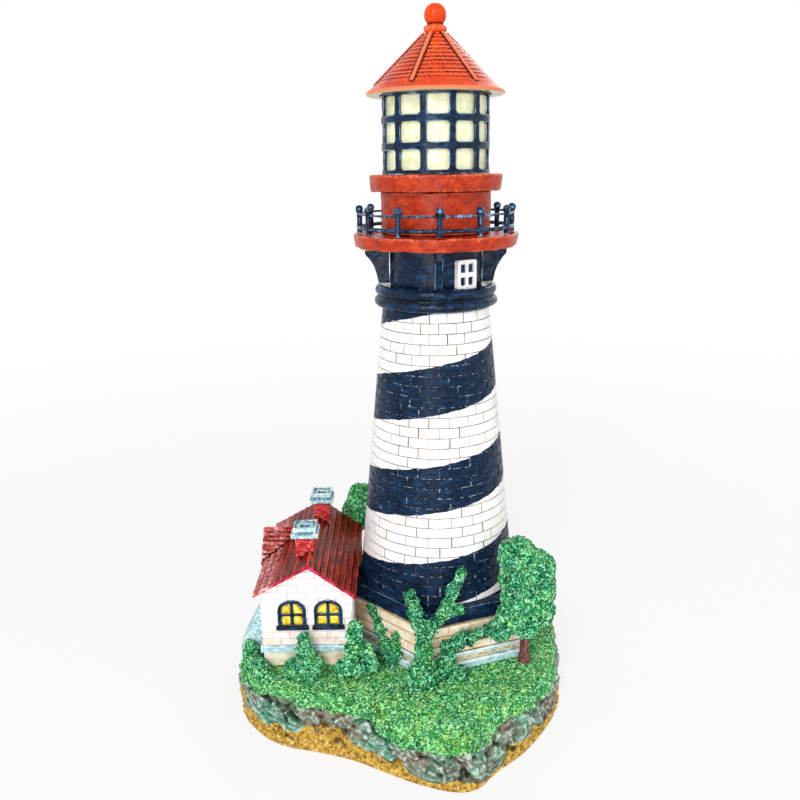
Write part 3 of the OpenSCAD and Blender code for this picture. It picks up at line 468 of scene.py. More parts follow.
def roof_board(tree, place):
    # Dark maroon boards, near black in the laps as a wash and painted shade, with orange-red dragged
    # along their lips as dry-brushing and a painted highlight; the gable edge is crimson
    maroons = ["#470a0c", "#6c1110", "#8c1b12", "#ba3618"]
    colour = patches(tree, place, 2.6, maroons, squeeze=(1, 0.25, 1))
    colour = wash_and_painted_light(tree, colour, "#1c0406", "#f0602e", 0.475, 0.555, 0.95)
    x, y, _ = add(tree, "SeparateXYZ", place, out=None)
    crimson = patches(tree, place, 3, ["#8a1230", "#b81f3c", "#d8486a"])
    colour = coated(tree, colour, crimson, y, -0.0586, -0.0582, 1, 0)
    # Pale pink laid over all but the hollows of the wing roof at the left end: a painted highlight
    wing = add(tree, "MapRange SMOOTHSTEP", x, -0.094, -0.1)
    edge = add(tree, "MapRange SMOOTHSTEP", add(tree, "Attribute relief", out="Fac"), 0.3, 0.5)
    pale = patches(tree, place, 3, ["#9c2c2c", "#c04a48", "#e08a8a", "#f8d0d0"], squeeze=(1, 1, 2))
    share = add(tree, "Math MULTIPLY", wing, edge)
    colour = add(tree, "Mix RGBA", {0: share, 6: colour, 7: pale}, out=2)
    varnish(tree, place, colour, 0.26, 0.08, 1, 0.16)


def strand_paint(tree, place, tones, tip, fleck_and_glint):
    """Sponged greens on carved strands: near black between them as painted shade, bright along their
    backs as dry-brushing and painted highlight, and pale flecks on the highest backs that are partly
    painted glints.
    """
    carved = curls(tree, place, 2.6)
    back = add(tree, "Math MULTIPLY_ADD", carved, 0.6, 0.4)
    high = add(tree, "Math MULTIPLY", add(tree, "Attribute relief", out="Fac"), back)
    colour = patches(tree, place, 12, tones)
    # Bright tones along the backs: dry-brushing and painted highlight. Near black between the strands:
    # painted shade.
    colour = coated(tree, colour, patches(tree, place, 6, tip), high, 0.34, 0.62)
    colour = coated(tree, colour, "#06281a", high, 0.14, 0.4, 0.98, 0)
    # Pale flecks on the highest backs, partly painted glints
    spots = add(tree, "MapRange SMOOTHSTEP", speckle(tree, place, 2), 0.44, 0.57)
    pale = add(tree, "Math MULTIPLY", spots, add(tree, "MapRange SMOOTHSTEP", high, 0.56, 0.82))
    return add(tree, "Mix RGBA", {0: pale, 6: colour, 7: fleck_and_glint}, out=2), carved


def sponged_green(tree, place, *tones):
    """Acrylic greens sponged one over another on strands, satin."""
    colour, carved = strand_paint(tree, place, *tones)
    varnish(tree, place, colour, 0.36, 0.25, 0.8, 0.2, carved=carved)


def island_paint(tree, place):
    # Golden sand at the rim, with painted shade in its hollows; grey-green rock with chalky ridges that
    # are partly dry-brushing and partly painted highlight, brown clefts, and a wash and painted shade in
    # its hollows; and turf above
    ground, relief = (add(tree, "Attribute " + name, out="Fac") for name in ("ground", "relief"))
    sand = patches(tree, place, 2.4, ["#7a561c", "#c4932e", "#e3ba4c", "#f8e294"], spread=0.2)
    sand = coated(tree, sand, "#4a3018", speckle(tree, place, 1.5), 0.36, 0.46, 0.9, 0)
    # Painted shade in the hollows of the sand
    sand = coated(tree, sand, "#2e2012", relief, 0.2, 0.46, 0.95, 0)
    drift = patches(tree, place, 26, ["#000000", "#ffffff"], 3, 0.1)
    green = patches(tree, place, 9, ["#235a3c", "#2f7a5a", "#4c9a7c", "#84ba9e"], 4, 0.2)
    earth = patches(tree, place, 7, ["#4c3a2c", "#7a6450", "#948474", "#a89c8c"], 4, 0.2)
    rock = add(tree, "Mix RGBA", {0: drift, 6: green, 7: earth}, out=2)
    slope = add(tree, "VectorRotate", {0: place, 4: (0.5, 0.6, 0.2)}, rotation_type="EULER_XYZ")
    streak = patches(tree, slope, 1.8, ["#000000", "#ffffff", "#ffffff"], 4, 0.12, (0.3, 0.3, 1))
    # Chalky colour on the raised ridges: dry-brushing and painted highlight
    ridge = add(tree, "Math MULTIPLY", add(tree, "MapRange SMOOTHSTEP", relief, 0.46, 0.68), streak)
    rock = add(tree, "Mix RGBA", {0: ridge, 6: rock, 7: "#cdebe0"}, out=2)
    crack = patches(tree, slope, 2.6, ["#ffffff", "#000000", "#000000"], 3, 0.2, (0.25, 0.25, 1))
    crack = add(tree, "Math MULTIPLY", crack, 0.7)
    rock = add(tree, "Mix RGBA", {0: crack, 6: rock, 7: "#27231a"}, out=2)
    # A dark wash and painted shade in the hollows of the rock
    rock = coated(tree, rock, "#171610", relief, 0.26, 0.48, 0.96, 0)
    moss, carved = strand_paint(tree, place, ["#349a5c", "#44b866", "#70cc52"],
                                ["#6cd88c", "#90ea92", "#c2f894"], "#d4fad4")
    pits = speckle(tree, place, 2.2, 4, 0.72)
    uneven = add(tree, "Math MULTIPLY", add(tree, "Math SUBTRACT", pits, 0.5), 0.7)
    ragged = add(tree, "Math ADD", ground, uneven)
    colour = coated(tree, sand, rock, ragged, 0.22, 0.28)
    colour = coated(tree, colour, moss, ragged, 0.72, 0.78)
    height = coated(tree, add(tree, "Math MULTIPLY", pits, 1.8), carved, ragged, 0.72, 0.78)
    varnish(tree, place, colour, 0.42, 0.35, 0.8, 0.3, carved=height)


def banded(tree, place):
    """1 inside the navy band that winds up the tower, and 0 on the white between its turns."""
    sizes = bpy.context.scene.lighthouse_sizes
    pitch = sizes.band_pitch
    x, y, z = add(tree, "SeparateXYZ", place, out=None)
    turn = add(tree, "Math ARCTAN2", x, add(tree, "Math MULTIPLY", y, -1))
    rise = add(tree, "Math MULTIPLY", turn, pitch / (2 * math.pi))
    sway = add(tree, "Math MULTIPLY", add(tree, "Math SINE", turn), -2.2 * MM)
    edge = add(tree, "Math ADD", add(tree, "Math ADD", rise, sway), sizes.band_top)
    ragged = add(tree, "Math SUBTRACT", speckle(tree, place, 5, 2, 0.5), 0.5)
    edge = add(tree, "Math ADD", edge, add(tree, "Math MULTIPLY", ragged, 1.6 * MM))
    below = add(tree, "Math DIVIDE", add(tree, "Math SUBTRACT", edge, z), pitch)
    below = add(tree, "Math FRACT", below)
    share, soft = sizes.band_width / pitch, 0.3 * MM / pitch
    inside = add(tree, "MapRange SMOOTHSTEP", below, share - soft, share + soft, 1, 0)
    return add(tree, "Math MULTIPLY", inside, add(tree, "MapRange SMOOTHSTEP", below, 0, soft))


def tower_brick(tree, place):
    # White bricks with a cool cast on some, and navy bricks with horizontal blue strokes, partly a
    # painted highlight along their middles; painted shade darkens the edges of every brick
    white = patches(tree, place, 9, ["#e9ecf2", "#fbfafa", "#ffffff", "#fff9f0"])
    navy = patches(tree, place, 7, ["#07121f", "#0b1d33", "#112b49", "#1f466c"], 5, 0.2, (1, 1, 3))
    relief = add(tree, "Attribute relief", out="Fac")
    # Painted shade at the edges of each brick: brown-grey on the white, near black on the navy
    white = coated(tree, white, "#cbb9ae", relief, 0.3, 0.6, 0.55, 0)
    navy = coated(tree, navy, "#02060c", relief, 0.3, 0.6, 0.55, 0)
    colour = add(tree, "Mix RGBA", {0: banded(tree, place), 6: white, 7: navy}, out=2)
    varnish(tree, place, colour, 0.25, 0.12, 1.4, 0.22, (1, 1, 3))


def tower_joint(tree, place):
    # A thin grey-brown wash in the joints of the white, and worn flecks of pale blue on the navy
    tan = patches(tree, place, 5, ["#64524a", "#8e786c", "#b9a498"])
    worn = patches(tree, place, 2.6, ["#050c16", "#1c3048", "#a9bac8"], spread=0.1)
    colour = add(tree, "Mix RGBA", {0: banded(tree, place), 6: tan, 7: worn}, out=2)
    varnish(tree, place, colour, 0.5, 0.3, 0.8, 0.08)


def plain(tree, place, tones, size, **more):
    """Bare stuff with no paint on it, in tones over patches of a size in millimetres."""
    more["Base Color"] = patches(tree, place, size, tones)
    add(tree, "OutputMaterial", add(tree, "BsdfPrincipled", more))


def seen_directly(tree):
    """1 for what the camera sees, also reflected or through glass, and 0 for light on the object."""
    path = add(tree, "LightPath", out=None)
    through = add(tree, "Math MAXIMUM", path["Is Camera Ray"], path["Is Transmission Ray"])
    return add(tree, "Math MAXIMUM", through, path["Is Glossy Ray"])


def studio_paper(tree, place):
    # Seamless white paper: matt where it takes the shadow, and running out to even white
    paper = add(tree, "BsdfDiffuse", tuple(bpy.context.scene.lighthouse_stage.floor))
    away = add(tree, "VectorMath LENGTH", place, out="Value")
    white = add(tree, "MapRange SMOOTHSTEP", away, 0.25, 1.2, 0.78, 1)
    share = add(tree, "Math MULTIPLY", seen_directly(tree), white)
    glow = add(tree, "Emission", "#ffffff", 1)
    add(tree, "OutputMaterial", add(tree, "MixShader", share, paper, glow))


FINISHES = {
    "orange_red_roof": roof_red, "kerb_paint": kerb_paint, "stone_joint_wash": stone_joint,
    "white_cottage_brick": cottage_brick, "maroon_roof_boards": roof_board,
    "island_ground": island_paint, "tower_brick": tower_brick, "tower_joint": tower_joint,
    "studio_paper": studio_paper,
    # Grass green over dark green, brighter and yellower in drifts
    "grass_green": lambda tree, place: sponged_green(
        tree, place, ["#3cbe6c", "#4cd66c", "#82e856"], ["#8af0b0", "#acfcaa", "#deffa6"], "#e6ffe2"),
    # Bluer, cooler green for the trees and bushes
    "leaf_green": lambda tree, place: sponged_green(
        tree, place, ["#1a966c", "#2eb46e", "#52ca58"], ["#60e0a8", "#88f2b0", "#bcfda8"], "#dcffe8"),
    # Frosted epoxy over the lamp
    "frosted_epoxy": lambda tree, place: plain(
        tree, place, ["#f3efe0", "#fffdf4"], 3,
        **{"Roughness": 0.35, "Transmission Weight": 0.6, "IOR": 1.5}),
    # Zinc-plated screw and nickel-plated spring steel
    "zinc_plate": lambda tree, place: plain(
        tree, place, ["#8f9294", "#b4b6b6", "#c9cac6"], 2, Metallic=1, Roughness=0.35),
    "nickel_plate": lambda tree, place: plain(
        tree, place, ["#a09a8c", "#bdb8aa", "#d2cec2"], 3, Metallic=1, Roughness=0.25),
}


def finish(name):
    """The material of that name, made once."""
    mat = bpy.data.materials.get(name)
    if not mat:
        mat = bpy.data.materials.new(name)
        mat.use_nodes = True
        tree = mat.node_tree
        tree.nodes.clear()
        place = add(tree, "TexCoord", out="Object")
        if name in PAINTS:
            painted_resin(tree, place, *PAINTS[name])
        else:
            FINISHES[name](tree, place)
    return mat


# ------------------------------------------------------------------ sizes and colours


def size(name, description, millimetres):
    return bpy.props.FloatProperty(
        name=name, description=description, default=millimetres * MM, unit="LENGTH")


def power(name, description, watts):
    return bpy.props.FloatProperty(name=name, description=description, default=watts, unit="POWER")


class LighthouseSizes(bpy.types.PropertyGroup):
    """Sizes of what is modelled over the CAD frame"""

    bricks: bpy.props.IntProperty(
        name="Bricks", description="Bricks in one course of the tower", default=20)
    courses: bpy.props.IntProperty(
        name="Courses", description="Courses of brick up the tower", default=29)
    joint: size("Joint", "Width of the joints between bricks", 0.5)
    brick_relief: size("Relief", "How far a brick stands out of its joints", 0.55)
    band_pitch: size("Band pitch", "Rise of the painted band in one turn", 57.5)
    band_width: size("Band width", "Height of the navy band", 28)
    band_top: size("Band height", "Height of the band's upper edge at the front", 211.7)
    stone: size("Stone", "Usual length of a stone in the plinth", 14)
    cottage_brick: size("Cottage brick", "Length of a brick in the cottage", 10.8)
    cottage_course: size("Cottage course", "Height of a course in the cottage", 4.5)
    blades: bpy.props.FloatProperty(
        name="Grass", description="Strands of grass in a square millimetre", default=0.46)
    leaves: bpy.props.FloatProperty(
        name="Leaves", description="Strands of leaf in a square millimetre", default=0.42)


class LighthouseStage(bpy.types.PropertyGroup):
    """Colours and strengths of the studio"""

    floor: bpy.props.FloatVectorProperty(
        name="Floor", description="Colour of the studio floor", subtype="COLOR", size=4,
        default=linear("#f4f4f4"))
    world: bpy.props.FloatProperty(name="World", description="Strength of the even light", default=0.52)
    key: power("Key", "Power of the main lamp", 12.2)
    fill: power("Fill", "Power of the side lamp", 5)
    low: power("Low", "Power of the low lamp in front", 11)


# ------------------------------------------------------------------ island, grass and plants


def shoreline(per_side, smooth):
    """Points round the island: a smooth curve, or the straight sides that the base plate follows."""
    points, n = [], len(SHORE)
    for i in range(n):
        a, b, c, d = (Vector(SHORE[(i + k - 1) % n]) for k in range(4))
        for s in range(per_side):
            t = s / per_side
            if smooth:
                points.append(0.5 * (2 * b + (c - a) * t + (2 * a - 5 * b + 4 * c - d) * t * t
                                     + (3 * b - a - 3 * c + d) * t * t * t))
            else:
                points.append(b.lerp(c, t))
    return np.array(points)


def pulled_in(points, inset, z):
    """The outline moved in towards the heart of the island, at a height."""
    away = points - np.array(HEART)
    away /= np.linalg.norm(away, axis=1)[:, None]
    flat = points - away * np.reshape(inset, (-1, 1))
    return np.column_stack([flat, np.full(len(flat), float(z))])


def rock_rise(u, z):
    """How far the tallest rock stands out at places along the shore and a height, from 0 to 1."""
    rise = np.zeros(len(u))
    for k in range(2 * len(SHORE)):
        # Two staggered rows; what sways a rock's place, height and size goes round in uneven steps
        sway = [math.sin(math.radians(turn * k)) for turn in (97, 61, 43, 151)]
        level = 19.5 + 2.5 * sway[2] if k % 2 else 11 + 2 * sway[1]
        apart = np.abs(u - k / 2 - 0.18 * sway[0])
        across = np.minimum(apart, len(SHORE) - apart) / ROCK_HALF_W
        inside = 1 - across**2 - ((z - level) / ROCK_HALF_H) ** 2
        rise = np.maximum(rise, (0.82 + 0.18 * sway[3]) * np.sqrt(inside.clip(0)))
    return rise


def facets(co, size, seed):
    """Rock broken into blocks with tilted faces: each block's face, from about -1 to 1."""
    scaled = co / (np.array(size) * MM) + seed
    values = []
    for p in scaled:
        p = Vector(p)
        heart = noise.voronoi(p)[1][0]
        values.append((p - heart).dot(noise.cell_vector(heart * 37.1).normalized()) * 1.4)
    return np.array(values)


def ring_skin(rings):
    """A closed skin over rings of as many points, the last joined to the first."""
    rows, n = len(rings), len(rings[0])
    index = np.arange(rows * n).reshape(rows, n)
    after = np.roll(index, -1, axis=0)
    faces = np.stack([index, np.roll(index, -1, 1), np.roll(after, -1, 1), after], -1).reshape(-1, 4)
    mesh = bpy.data.meshes.new("skin")
    mesh.from_pydata((np.concatenate(rings) * MM).tolist(), [], faces.tolist())
    return mesh


def facing(bearing):
    """The way in which a face of the plinth looks, as x and y."""
    return math.sin(math.radians(bearing)), -math.cos(math.radians(bearing))


def outside_buildings(co):
    """1 on open ground, and 0 under the plinth and the cottage."""
    x, y = co[:, 0] / MM, co[:, 1] / MM
    reach = np.max([co[:, :2] @ facing(a) / MM - d for a, d in PLINTH], 0)
    inside = (reach < 8) | ((x > -106) & (x < -51) & (y > -56) & (y < 34))
    return np.where(inside, 0.0, 1.0)


def strand_blank():
    """A short curly strand, made once and scattered: a ridge on three sides, closed at its ends."""
    path = [(-1.6, 0.15, -0.3), (-0.7, -0.3, 0.35), (0.5, 0.25, 0.5), (1.55, -0.2, -0.25)]
    points, faces, relief = [], [], []
    for (x, y, z), wide, lift in zip(path, (0.22, 0.42, 0.42, 0.22), (0.55, 1, 1, 0.55)):
        points += [(x, y - wide, z - 0.25), (x, y + wide, z - 0.25), (x, y, z + 0.35)]
        relief += [0.3 * lift, 0.3 * lift, lift]
    for i in range(0, 9, 3):
        for j, k in ((0, 1), (1, 2), (2, 0)):
            faces.append((i + j, i + k, i + k + 3, i + j + 3))
    faces += [(2, 1, 0), (9, 10, 11)]
    mesh = bpy.data.meshes.new("strand_blank")
    mesh.from_pydata([tuple(c * MM for c in p) for p in points], [], faces)
    store(mesh, "relief", relief)
    return holder("strand_blank", mesh)


def scatter_tree():
    """Stands copies of a blank on a surface where its meadow attribute asks for them."""
    tree, given = new_tree("Scatter", [
        ("Geometry", "Geometry", None), ("Blank", "Object", None), ("Density", "Float", 1e5),
        ("Smallest", "Float", 0.6), ("Largest", "Float", 1.3), ("Tilt", "Float", 0.5),
        ("Seed", "Int", 1), ("Material", "Material", None),
    ])
    where = add(tree, "GeometryNodeInputNamedAttribute", {"Name": "meadow"}, data_type="FLOAT")
    spread = add(tree, "GeometryNodeDistributePointsOnFaces", {
        "Mesh": given["Geometry"], "Density": add(tree, "Math MULTIPLY", where, given["Density"]),
        "Seed": given["Seed"]}, out=None)
    shape = add(tree, "GeometryNodeObjectInfo", {"Object": given["Blank"]}, out="Geometry")
    size = add(tree, "FunctionNodeRandomValue", {
        2: given["Smallest"], 3: given["Largest"], 8: given["Seed"]}, out=1)
    stood = add(tree, "GeometryNodeInstanceOnPoints", {
        "Points": spread["Points"], "Instance": shape, "Rotation": spread["Rotation"], "Scale": size})
    lean = add(tree, "Math MULTIPLY", given["Tilt"], -1)
    lowest = add(tree, "CombineXYZ", lean, lean, -math.pi)
    highest = add(tree, "CombineXYZ", given["Tilt"], given["Tilt"], math.pi)
    turn = add(tree, "FunctionNodeRandomValue", {
        0: lowest, 1: highest, 8: given["Seed"]}, data_type="FLOAT_VECTOR")
    turned = add(tree, "GeometryNodeRotateInstances", {"Instances": stood, "Rotation": turn})
    real = add(tree, "GeometryNodeRealizeInstances", {"Geometry": turned})
    done = add(tree, "GeometryNodeSetMaterial", {"Geometry": real, "Material": given["Material"]})
    add(tree, "NodeGroupOutput", done)
    return tree


def scattered(name, mesh, blank_obj, density, sizes, mat, slot, seed, tilt):
    """A piece of a blank's copies, so many in a square millimetre, stood on a surface."""
    tree = bpy.data.node_groups.get("Scatter") or scatter_tree()
    result = grown(mesh, tree, {
        "Blank": blank_obj, "Density": density / MM**2, "Smallest": sizes[0], "Largest": sizes[1],
        "Tilt": tilt, "Seed": seed, "Material": mat,
    })
    return piece(name, result, slot, [mat], smooth=False)


class LIGHTHOUSE_OT_island(bpy.types.Operator):
    """Makes the island: a sandy rim, a bank of rocks and clefts, and turf with strands of grass"""

    bl_idname = "lighthouse.island"
    bl_label = "Island"

    def execute(self, context):
        smooth, straight = shoreline(SHORE_STEPS, True), shoreline(SHORE_STEPS, False)
        along_shore = np.arange(len(smooth)) / SHORE_STEPS
        # 1 at the front point, where the bank leans back the most
        lean = np.clip((smooth[:, 1] + 88) / -34, 0, 1)
        table = np.array(BANK, float)
        gone = np.hypot(np.diff(table[:, 0]), np.diff(table[:, 1])) + 0.1
        gone = np.concatenate([[0], np.cumsum(gone)])
        rings = []
        for s in np.linspace(0, gone[-1], BANK_RINGS):
            z, inset, rocky, more = (np.interp(s, gone, table[:, k]) for k in range(4))
            cleft = CLEFT_SHARE - rock_rise(along_shore, z)
            rings.append(pulled_in(smooth, inset + CRAG * rocky * cleft + more * lean, z))
        rim = rings[-1]
        hole = rim.copy()
        hole[:, :2] *= LEAD_HOLE_R / np.linalg.norm(rim[:, :2], axis=1)[:, None]
        for s in [*np.linspace(0.012, 0.62, TOP_RINGS), 0.8, 1]:
            rings.append(rim + (hole - rim) * s)
        ceiling = hole.copy()
        ceiling[:, 2] = CEILING_Z
        rings.append(ceiling)
        rings += [pulled_in(straight, inset, z)
                  for inset, z in ((11, CEILING_Z), (11, FOOT_Z), (7, FOOT_Z), (7, 0))]
        mesh = ring_skin(rings)
        mesh.update()
        n, outer = len(smooth), BANK_RINGS + TOP_RINGS + 1
        co, out = coords(mesh), coords(mesh, "normal")
        shown = np.arange(len(co)) < (outer * n)
        z = co[:, 2] / MM
        stands = np.array([rock_rise(along_shore, h) for h in z.reshape(-1, n)[:, 0]]).ravel()
        # Sand, rock and turf meet at wandering heights, which rise at the front left
        west = np.exp(-(((co[:, 0] / MM + 78) / 38) ** 2)) * (co[:, 1] < 0)
        grass_line = 20.5 + 5 * west + 8 * lumps(co, (34, 34, 80), 1) + 2.6 * lumps(co, 8, 2)
        sand_line = 7.5 + 5 * west + 7 * lumps(co, (30, 30, 80), 3) + 2.4 * lumps(co, 8, 4)
        grass_line, sand_line = grass_line + 1.5 * stands, sand_line - 2 * stands
        grass = step(grass_line - 2, grass_line + 2, z)
        sand = 1 - step(sand_line - 2, sand_line + 2, z)
        # How far each of the three stands out: blocks and layers of rock, tussocks, and dunes
        crags = 1.5 * facets(co, (17, 17, 15), 3.3) + 0.9 * facets(co, (7, 7, 6), 1.7)
        crags += 0.35 * facets(co, 3, 5.1)
        rough = lumps(co, 2.2, 7) * 0.6 + lumps(co, 1.3, 17) * 0.4
        slanted = co @ np.array([[0.9, 0.1, 0.42], [-0.1, 0.99, 0.0], [-0.42, 0.0, 0.9]])
        strata = 1 - 2.2 * np.abs(lumps(slanted, (13, 13, 4.5), 6))
        boulder = crags + 0.9 * strata + 0.35 * rough - 1.0
        tussock = lumps(co, 9, 8) * 1.0 + lumps(co, 2.6, 9) * 0.4 - 0.4
        dune = lumps(co, (4, 4, 3), 10) * 1.0 + lumps(co, 2.0, 11) * 0.8 - 0.8
        lift = grass * tussock + (1 - grass) * (sand * dune + (1 - sand) * boulder)
        lift *= shown * step(0.0, 1.5, z) * np.where(z > BANK_TOP_Z - 0.1, 0.45, 1)
        co += out * lift[:, None] * MM
        lowest, highest = (np.array(v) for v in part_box("island_base"))
        highest = highest + (0, 0, 0.8 * MM)
        set_coords(mesh, np.clip(co, lowest, highest))
        # 0 is sand, 0.5 rock and 1 turf
        store(mesh, "ground", np.where(shown, 0.5 + 0.5 * grass - 0.5 * (1 - grass) * sand, 0))
        store_relief(mesh, 1.5, 3)
        bend = np.empty(len(co), np.float32)
        mesh.attributes["relief"].data.foreach_get("value", bend)
        # Rocks that stand out are raised in the relief, so they read lighter: painted highlight
        relief = bend + 0.08 * rough + 0.1 * (stands - 0.5)
        relief = np.where(grass > 0.5, 0.66 + 0.3 * lumps(co, 6, 13), relief)
        store(mesh, "relief", relief.clip(0, 1))
        meadow = step(0.3, 0.7, grass + 0.25 * lumps(co, 3, 15)) * outside_buildings(co)
        store(mesh, "meadow", shown * meadow * (z > 12))
        turf = mesh.copy()
        piece("island_ground", mesh, SLOT["island_base"], [finish("island_ground")], ["island_base"])
        scattered("grass_strands", turf, strand_blank(), context.scene.lighthouse_sizes.blades,
                  (0.7, 1.15), finish("grass_green"), SLOT["island_base"], 4, 0.3)
        return {"FINISHED"}


class LIGHTHOUSE_OT_plants(bpy.types.Operator):
    """Makes the trees, bushes and climbing plants as lumpy crowns covered in sprigs of leaf"""

    bl_idname = "lighthouse.plants"
    bl_label = "Trees and plants"

    def execute(self, context):
        green, sprig = finish("leaf_green"), bpy.data.objects["strand_blank"]
        # Each plant's voxel and how much its foot spreads out into the grass, in millimetres
        plants = {
            "tree_crown": (0.75, 0), "rear_tree_crown": (0.75, 0), "bush_front": (0.6, 0.5),
            "bush_corner": (0.6, 0.5), "hedge_left": (0.6, 0), "vine_front": (0.55, 3.4),
            "creeper_right": (0.55, 1.6), "vine_left": (0.55, 1.6),
        }
        for seed, (node, (voxel, spread)) in enumerate(plants.items()):
            mesh = remeshed(node, voxel)
            co = coords(mesh)
            lump = lumps(co, 7.0, seed) * 1.3 + lumps(co, 2.8, seed + 20) * 0.7
            lowest, highest = (np.array(v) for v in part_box(node))
            foot = 1 - step(0, 20, (co[:, 2] - lowest[2]) / MM)
            co = co + coords(mesh, "normal") * ((lump - 1.1 + spread * foot) * MM)[:, None]
            set_coords(mesh, np.clip(co, lowest, highest))
            # Tops of the lumps lighter and the hollows between them darker: painted highlight and painted
            # shade
            store(mesh, "relief", (0.6 + 0.3 * lump).clip(0, 0.9))
            store(mesh, "meadow", np.ones(len(co)))
            base = mesh.copy()
            piece(node + "_mass", mesh, SLOT[node], [green], [node])
            sizes, tilt = ((0.8, 1.4), 0.9) if spread > 1 else ((0.7, 1.15), 0.45)
            scattered(node + "_leaves", base, sprig, context.scene.lighthouse_sizes.leaves, sizes,
                      green, SLOT[node], seed + 30, tilt)
        for node in ("tree_trunk", "rear_tree_trunk"):
            cast(node, finish("red_brown_bark"), 0.4, 0.35, (2.2, 2.2, 7), 0.12, 3.0)
        return {"FINISHED"}


# ------------------------------------------------------------------ brick and stone


def brick_blank():
    """One brick with a pillowed face: x and z run over the unit square, and y is its relief."""
    xs, zs = [-0.5, -0.475, -0.2, 0.2, 0.475, 0.5], [-0.5, -0.44, 0.0, 0.44, 0.5]
    bm = bmesh.new()
    top = [[bm.verts.new((x, 0.6 if 0.5 in (abs(x), abs(z)) else 1.0, z)) for z in zs] for x in xs]
    columns, rows = range(len(xs)), range(len(zs))
    foot = {(i, j): bm.verts.new((xs[i], -0.4, zs[j])) for i in columns for j in rows
            if i in (0, columns[-1]) or j in (0, rows[-1])}
    for i in columns[:-1]:
        for j in rows[:-1]:
            bm.faces.new((top[i][j], top[i][j + 1], top[i + 1][j + 1], top[i + 1][j]))
    rim = [(i, 0) for i in columns] + [(columns[-1], j) for j in rows[1:]]
    rim += [(i, rows[-1]) for i in columns[-2::-1]] + [(0, j) for j in rows[-2:0:-1]]
    for (i, j), (k, l) in zip(rim, rim[1:] + rim[:1]):
        bm.faces.new((top[i][j], top[k][l], foot[k, l], foot[i, j]))
    bm.faces.new([foot[c] for c in rim])
    bmesh.ops.recalc_face_normals(bm, faces=bm.faces)
    mesh = bpy.data.meshes.new("brick_blank")
    bm.to_mesh(mesh)
    bm.free()
    store(mesh, "relief", np.where(coords(mesh)[:, 1] > 0.9, 1, 0.25))
    return holder("brick_blank", mesh)


def brick_tree():
    """Lays bricks in a running bond over an unrolled cone, then rolls it up round the tower's axis."""
    tree, given = new_tree("Brick courses", [
        ("Geometry", "Geometry", None), ("Brick", "Object", None), ("Bricks", "Int", 20),
        ("Courses", "Int", 29), ("Course height", "Float", 0.006), ("Joint", "Float", 0.0007),
        ("Relief", "Float", 0.0005), ("Foot height", "Float", 0.069), ("Foot radius", "Float", 0.048),
        ("Taper", "Float", 0.1), ("Uneven", "Float", 0.0002), ("Seed", "Int", 1),
        ("Material", "Material", None),
    ])
    count = add(tree, "Math MULTIPLY", given["Bricks"], given["Courses"])
    points = add(tree, "GeometryNodePoints", {"Count": count})
    index = add(tree, "GeometryNodeInputIndex")
    course = add(tree, "Math FLOOR", add(tree, "Math DIVIDE", index, given["Bricks"]))
    laid = add(tree, "Math MULTIPLY", course, given["Bricks"])
    column = add(tree, "Math SUBTRACT", index, laid)
    bond = add(tree, "Math FRACT", add(tree, "Math MULTIPLY", course, 0.5))
    stray = add(tree, "FunctionNodeRandomValue", {2: -0.025, 3: 0.025, 8: given["Seed"]}, out=1)
    pitch = add(tree, "Math DIVIDE", 2 * math.pi, given["Bricks"])
    along = add(tree, "Math ADD", add(tree, "Math ADD", column, bond), stray)
    angle = add(tree, "Math MULTIPLY", along, pitch)
    up = add(tree, "Math MULTIPLY", add(tree, "Math ADD", course, 0.5), given["Course height"])
    drawn_in = add(tree, "Math MULTIPLY", up, given["Taper"])
    radius = add(tree, "Math SUBTRACT", given["Foot radius"], drawn_in)
    level = add(tree, "Math ADD", up, given["Foot height"])
    spot = add(tree, "CombineXYZ", {0: angle, 2: level})
    placed = add(tree, "GeometryNodeSetPosition", {"Geometry": points, "Position": spot})
    width = add(tree, "Math SUBTRACT", pitch, add(tree, "Math DIVIDE", given["Joint"], radius))
    height = add(tree, "Math SUBTRACT", given["Course height"], given["Joint"])
    size = add(tree, "CombineXYZ", width, given["Relief"], height)
    shape = add(tree, "GeometryNodeObjectInfo", {"Object": given["Brick"]}, out="Geometry")
    stood = add(tree, "GeometryNodeInstanceOnPoints", {
        "Points": placed, "Instance": shape, "Scale": size})
    real = add(tree, "GeometryNodeRealizeInstances", {"Geometry": stood})
    x, y, z = add(tree, "SeparateXYZ", add(tree, "GeometryNodeInputPosition"), out=None)
    risen = add(tree, "Math SUBTRACT", z, given["Foot height"])
    drawn_in = add(tree, "Math MULTIPLY", risen, given["Taper"])
    wall = add(tree, "Math SUBTRACT", given["Foot radius"], drawn_in)
    reach = add(tree, "Math ADD", add(tree, "Math SUBTRACT", wall, given["Relief"]), y)
    right = add(tree, "Math MULTIPLY", reach, add(tree, "Math SINE", x))
    back = add(tree, "Math MULTIPLY", reach, add(tree, "Math COSINE", x))
    rolled = add(tree, "CombineXYZ", right, add(tree, "Math MULTIPLY", back, -1), z)
    drift = add(tree, "TexNoise", {"Vector": rolled, "Scale": 1 / (4.5 * MM), "Detail": 1.5}, out=1)
    centred = add(tree, "VectorMath SUBTRACT", drift, (0.5, 0.5, 0.5))
    shift = add(tree, "VectorMath SCALE", {0: centred, 3: given["Uneven"]})
    bent = add(tree, "GeometryNodeSetPosition", {"Geometry": real, "Position": rolled, "Offset": shift})
    done = add(tree, "GeometryNodeSetMaterial", {"Geometry": bent, "Material": given["Material"]})
    joined = add(tree, "GeometryNodeJoinGeometry", given["Geometry"])
    tree.links.new(done, joined.node.inputs[0])
    add(tree, "NodeGroupOutput", joined)
    return tree


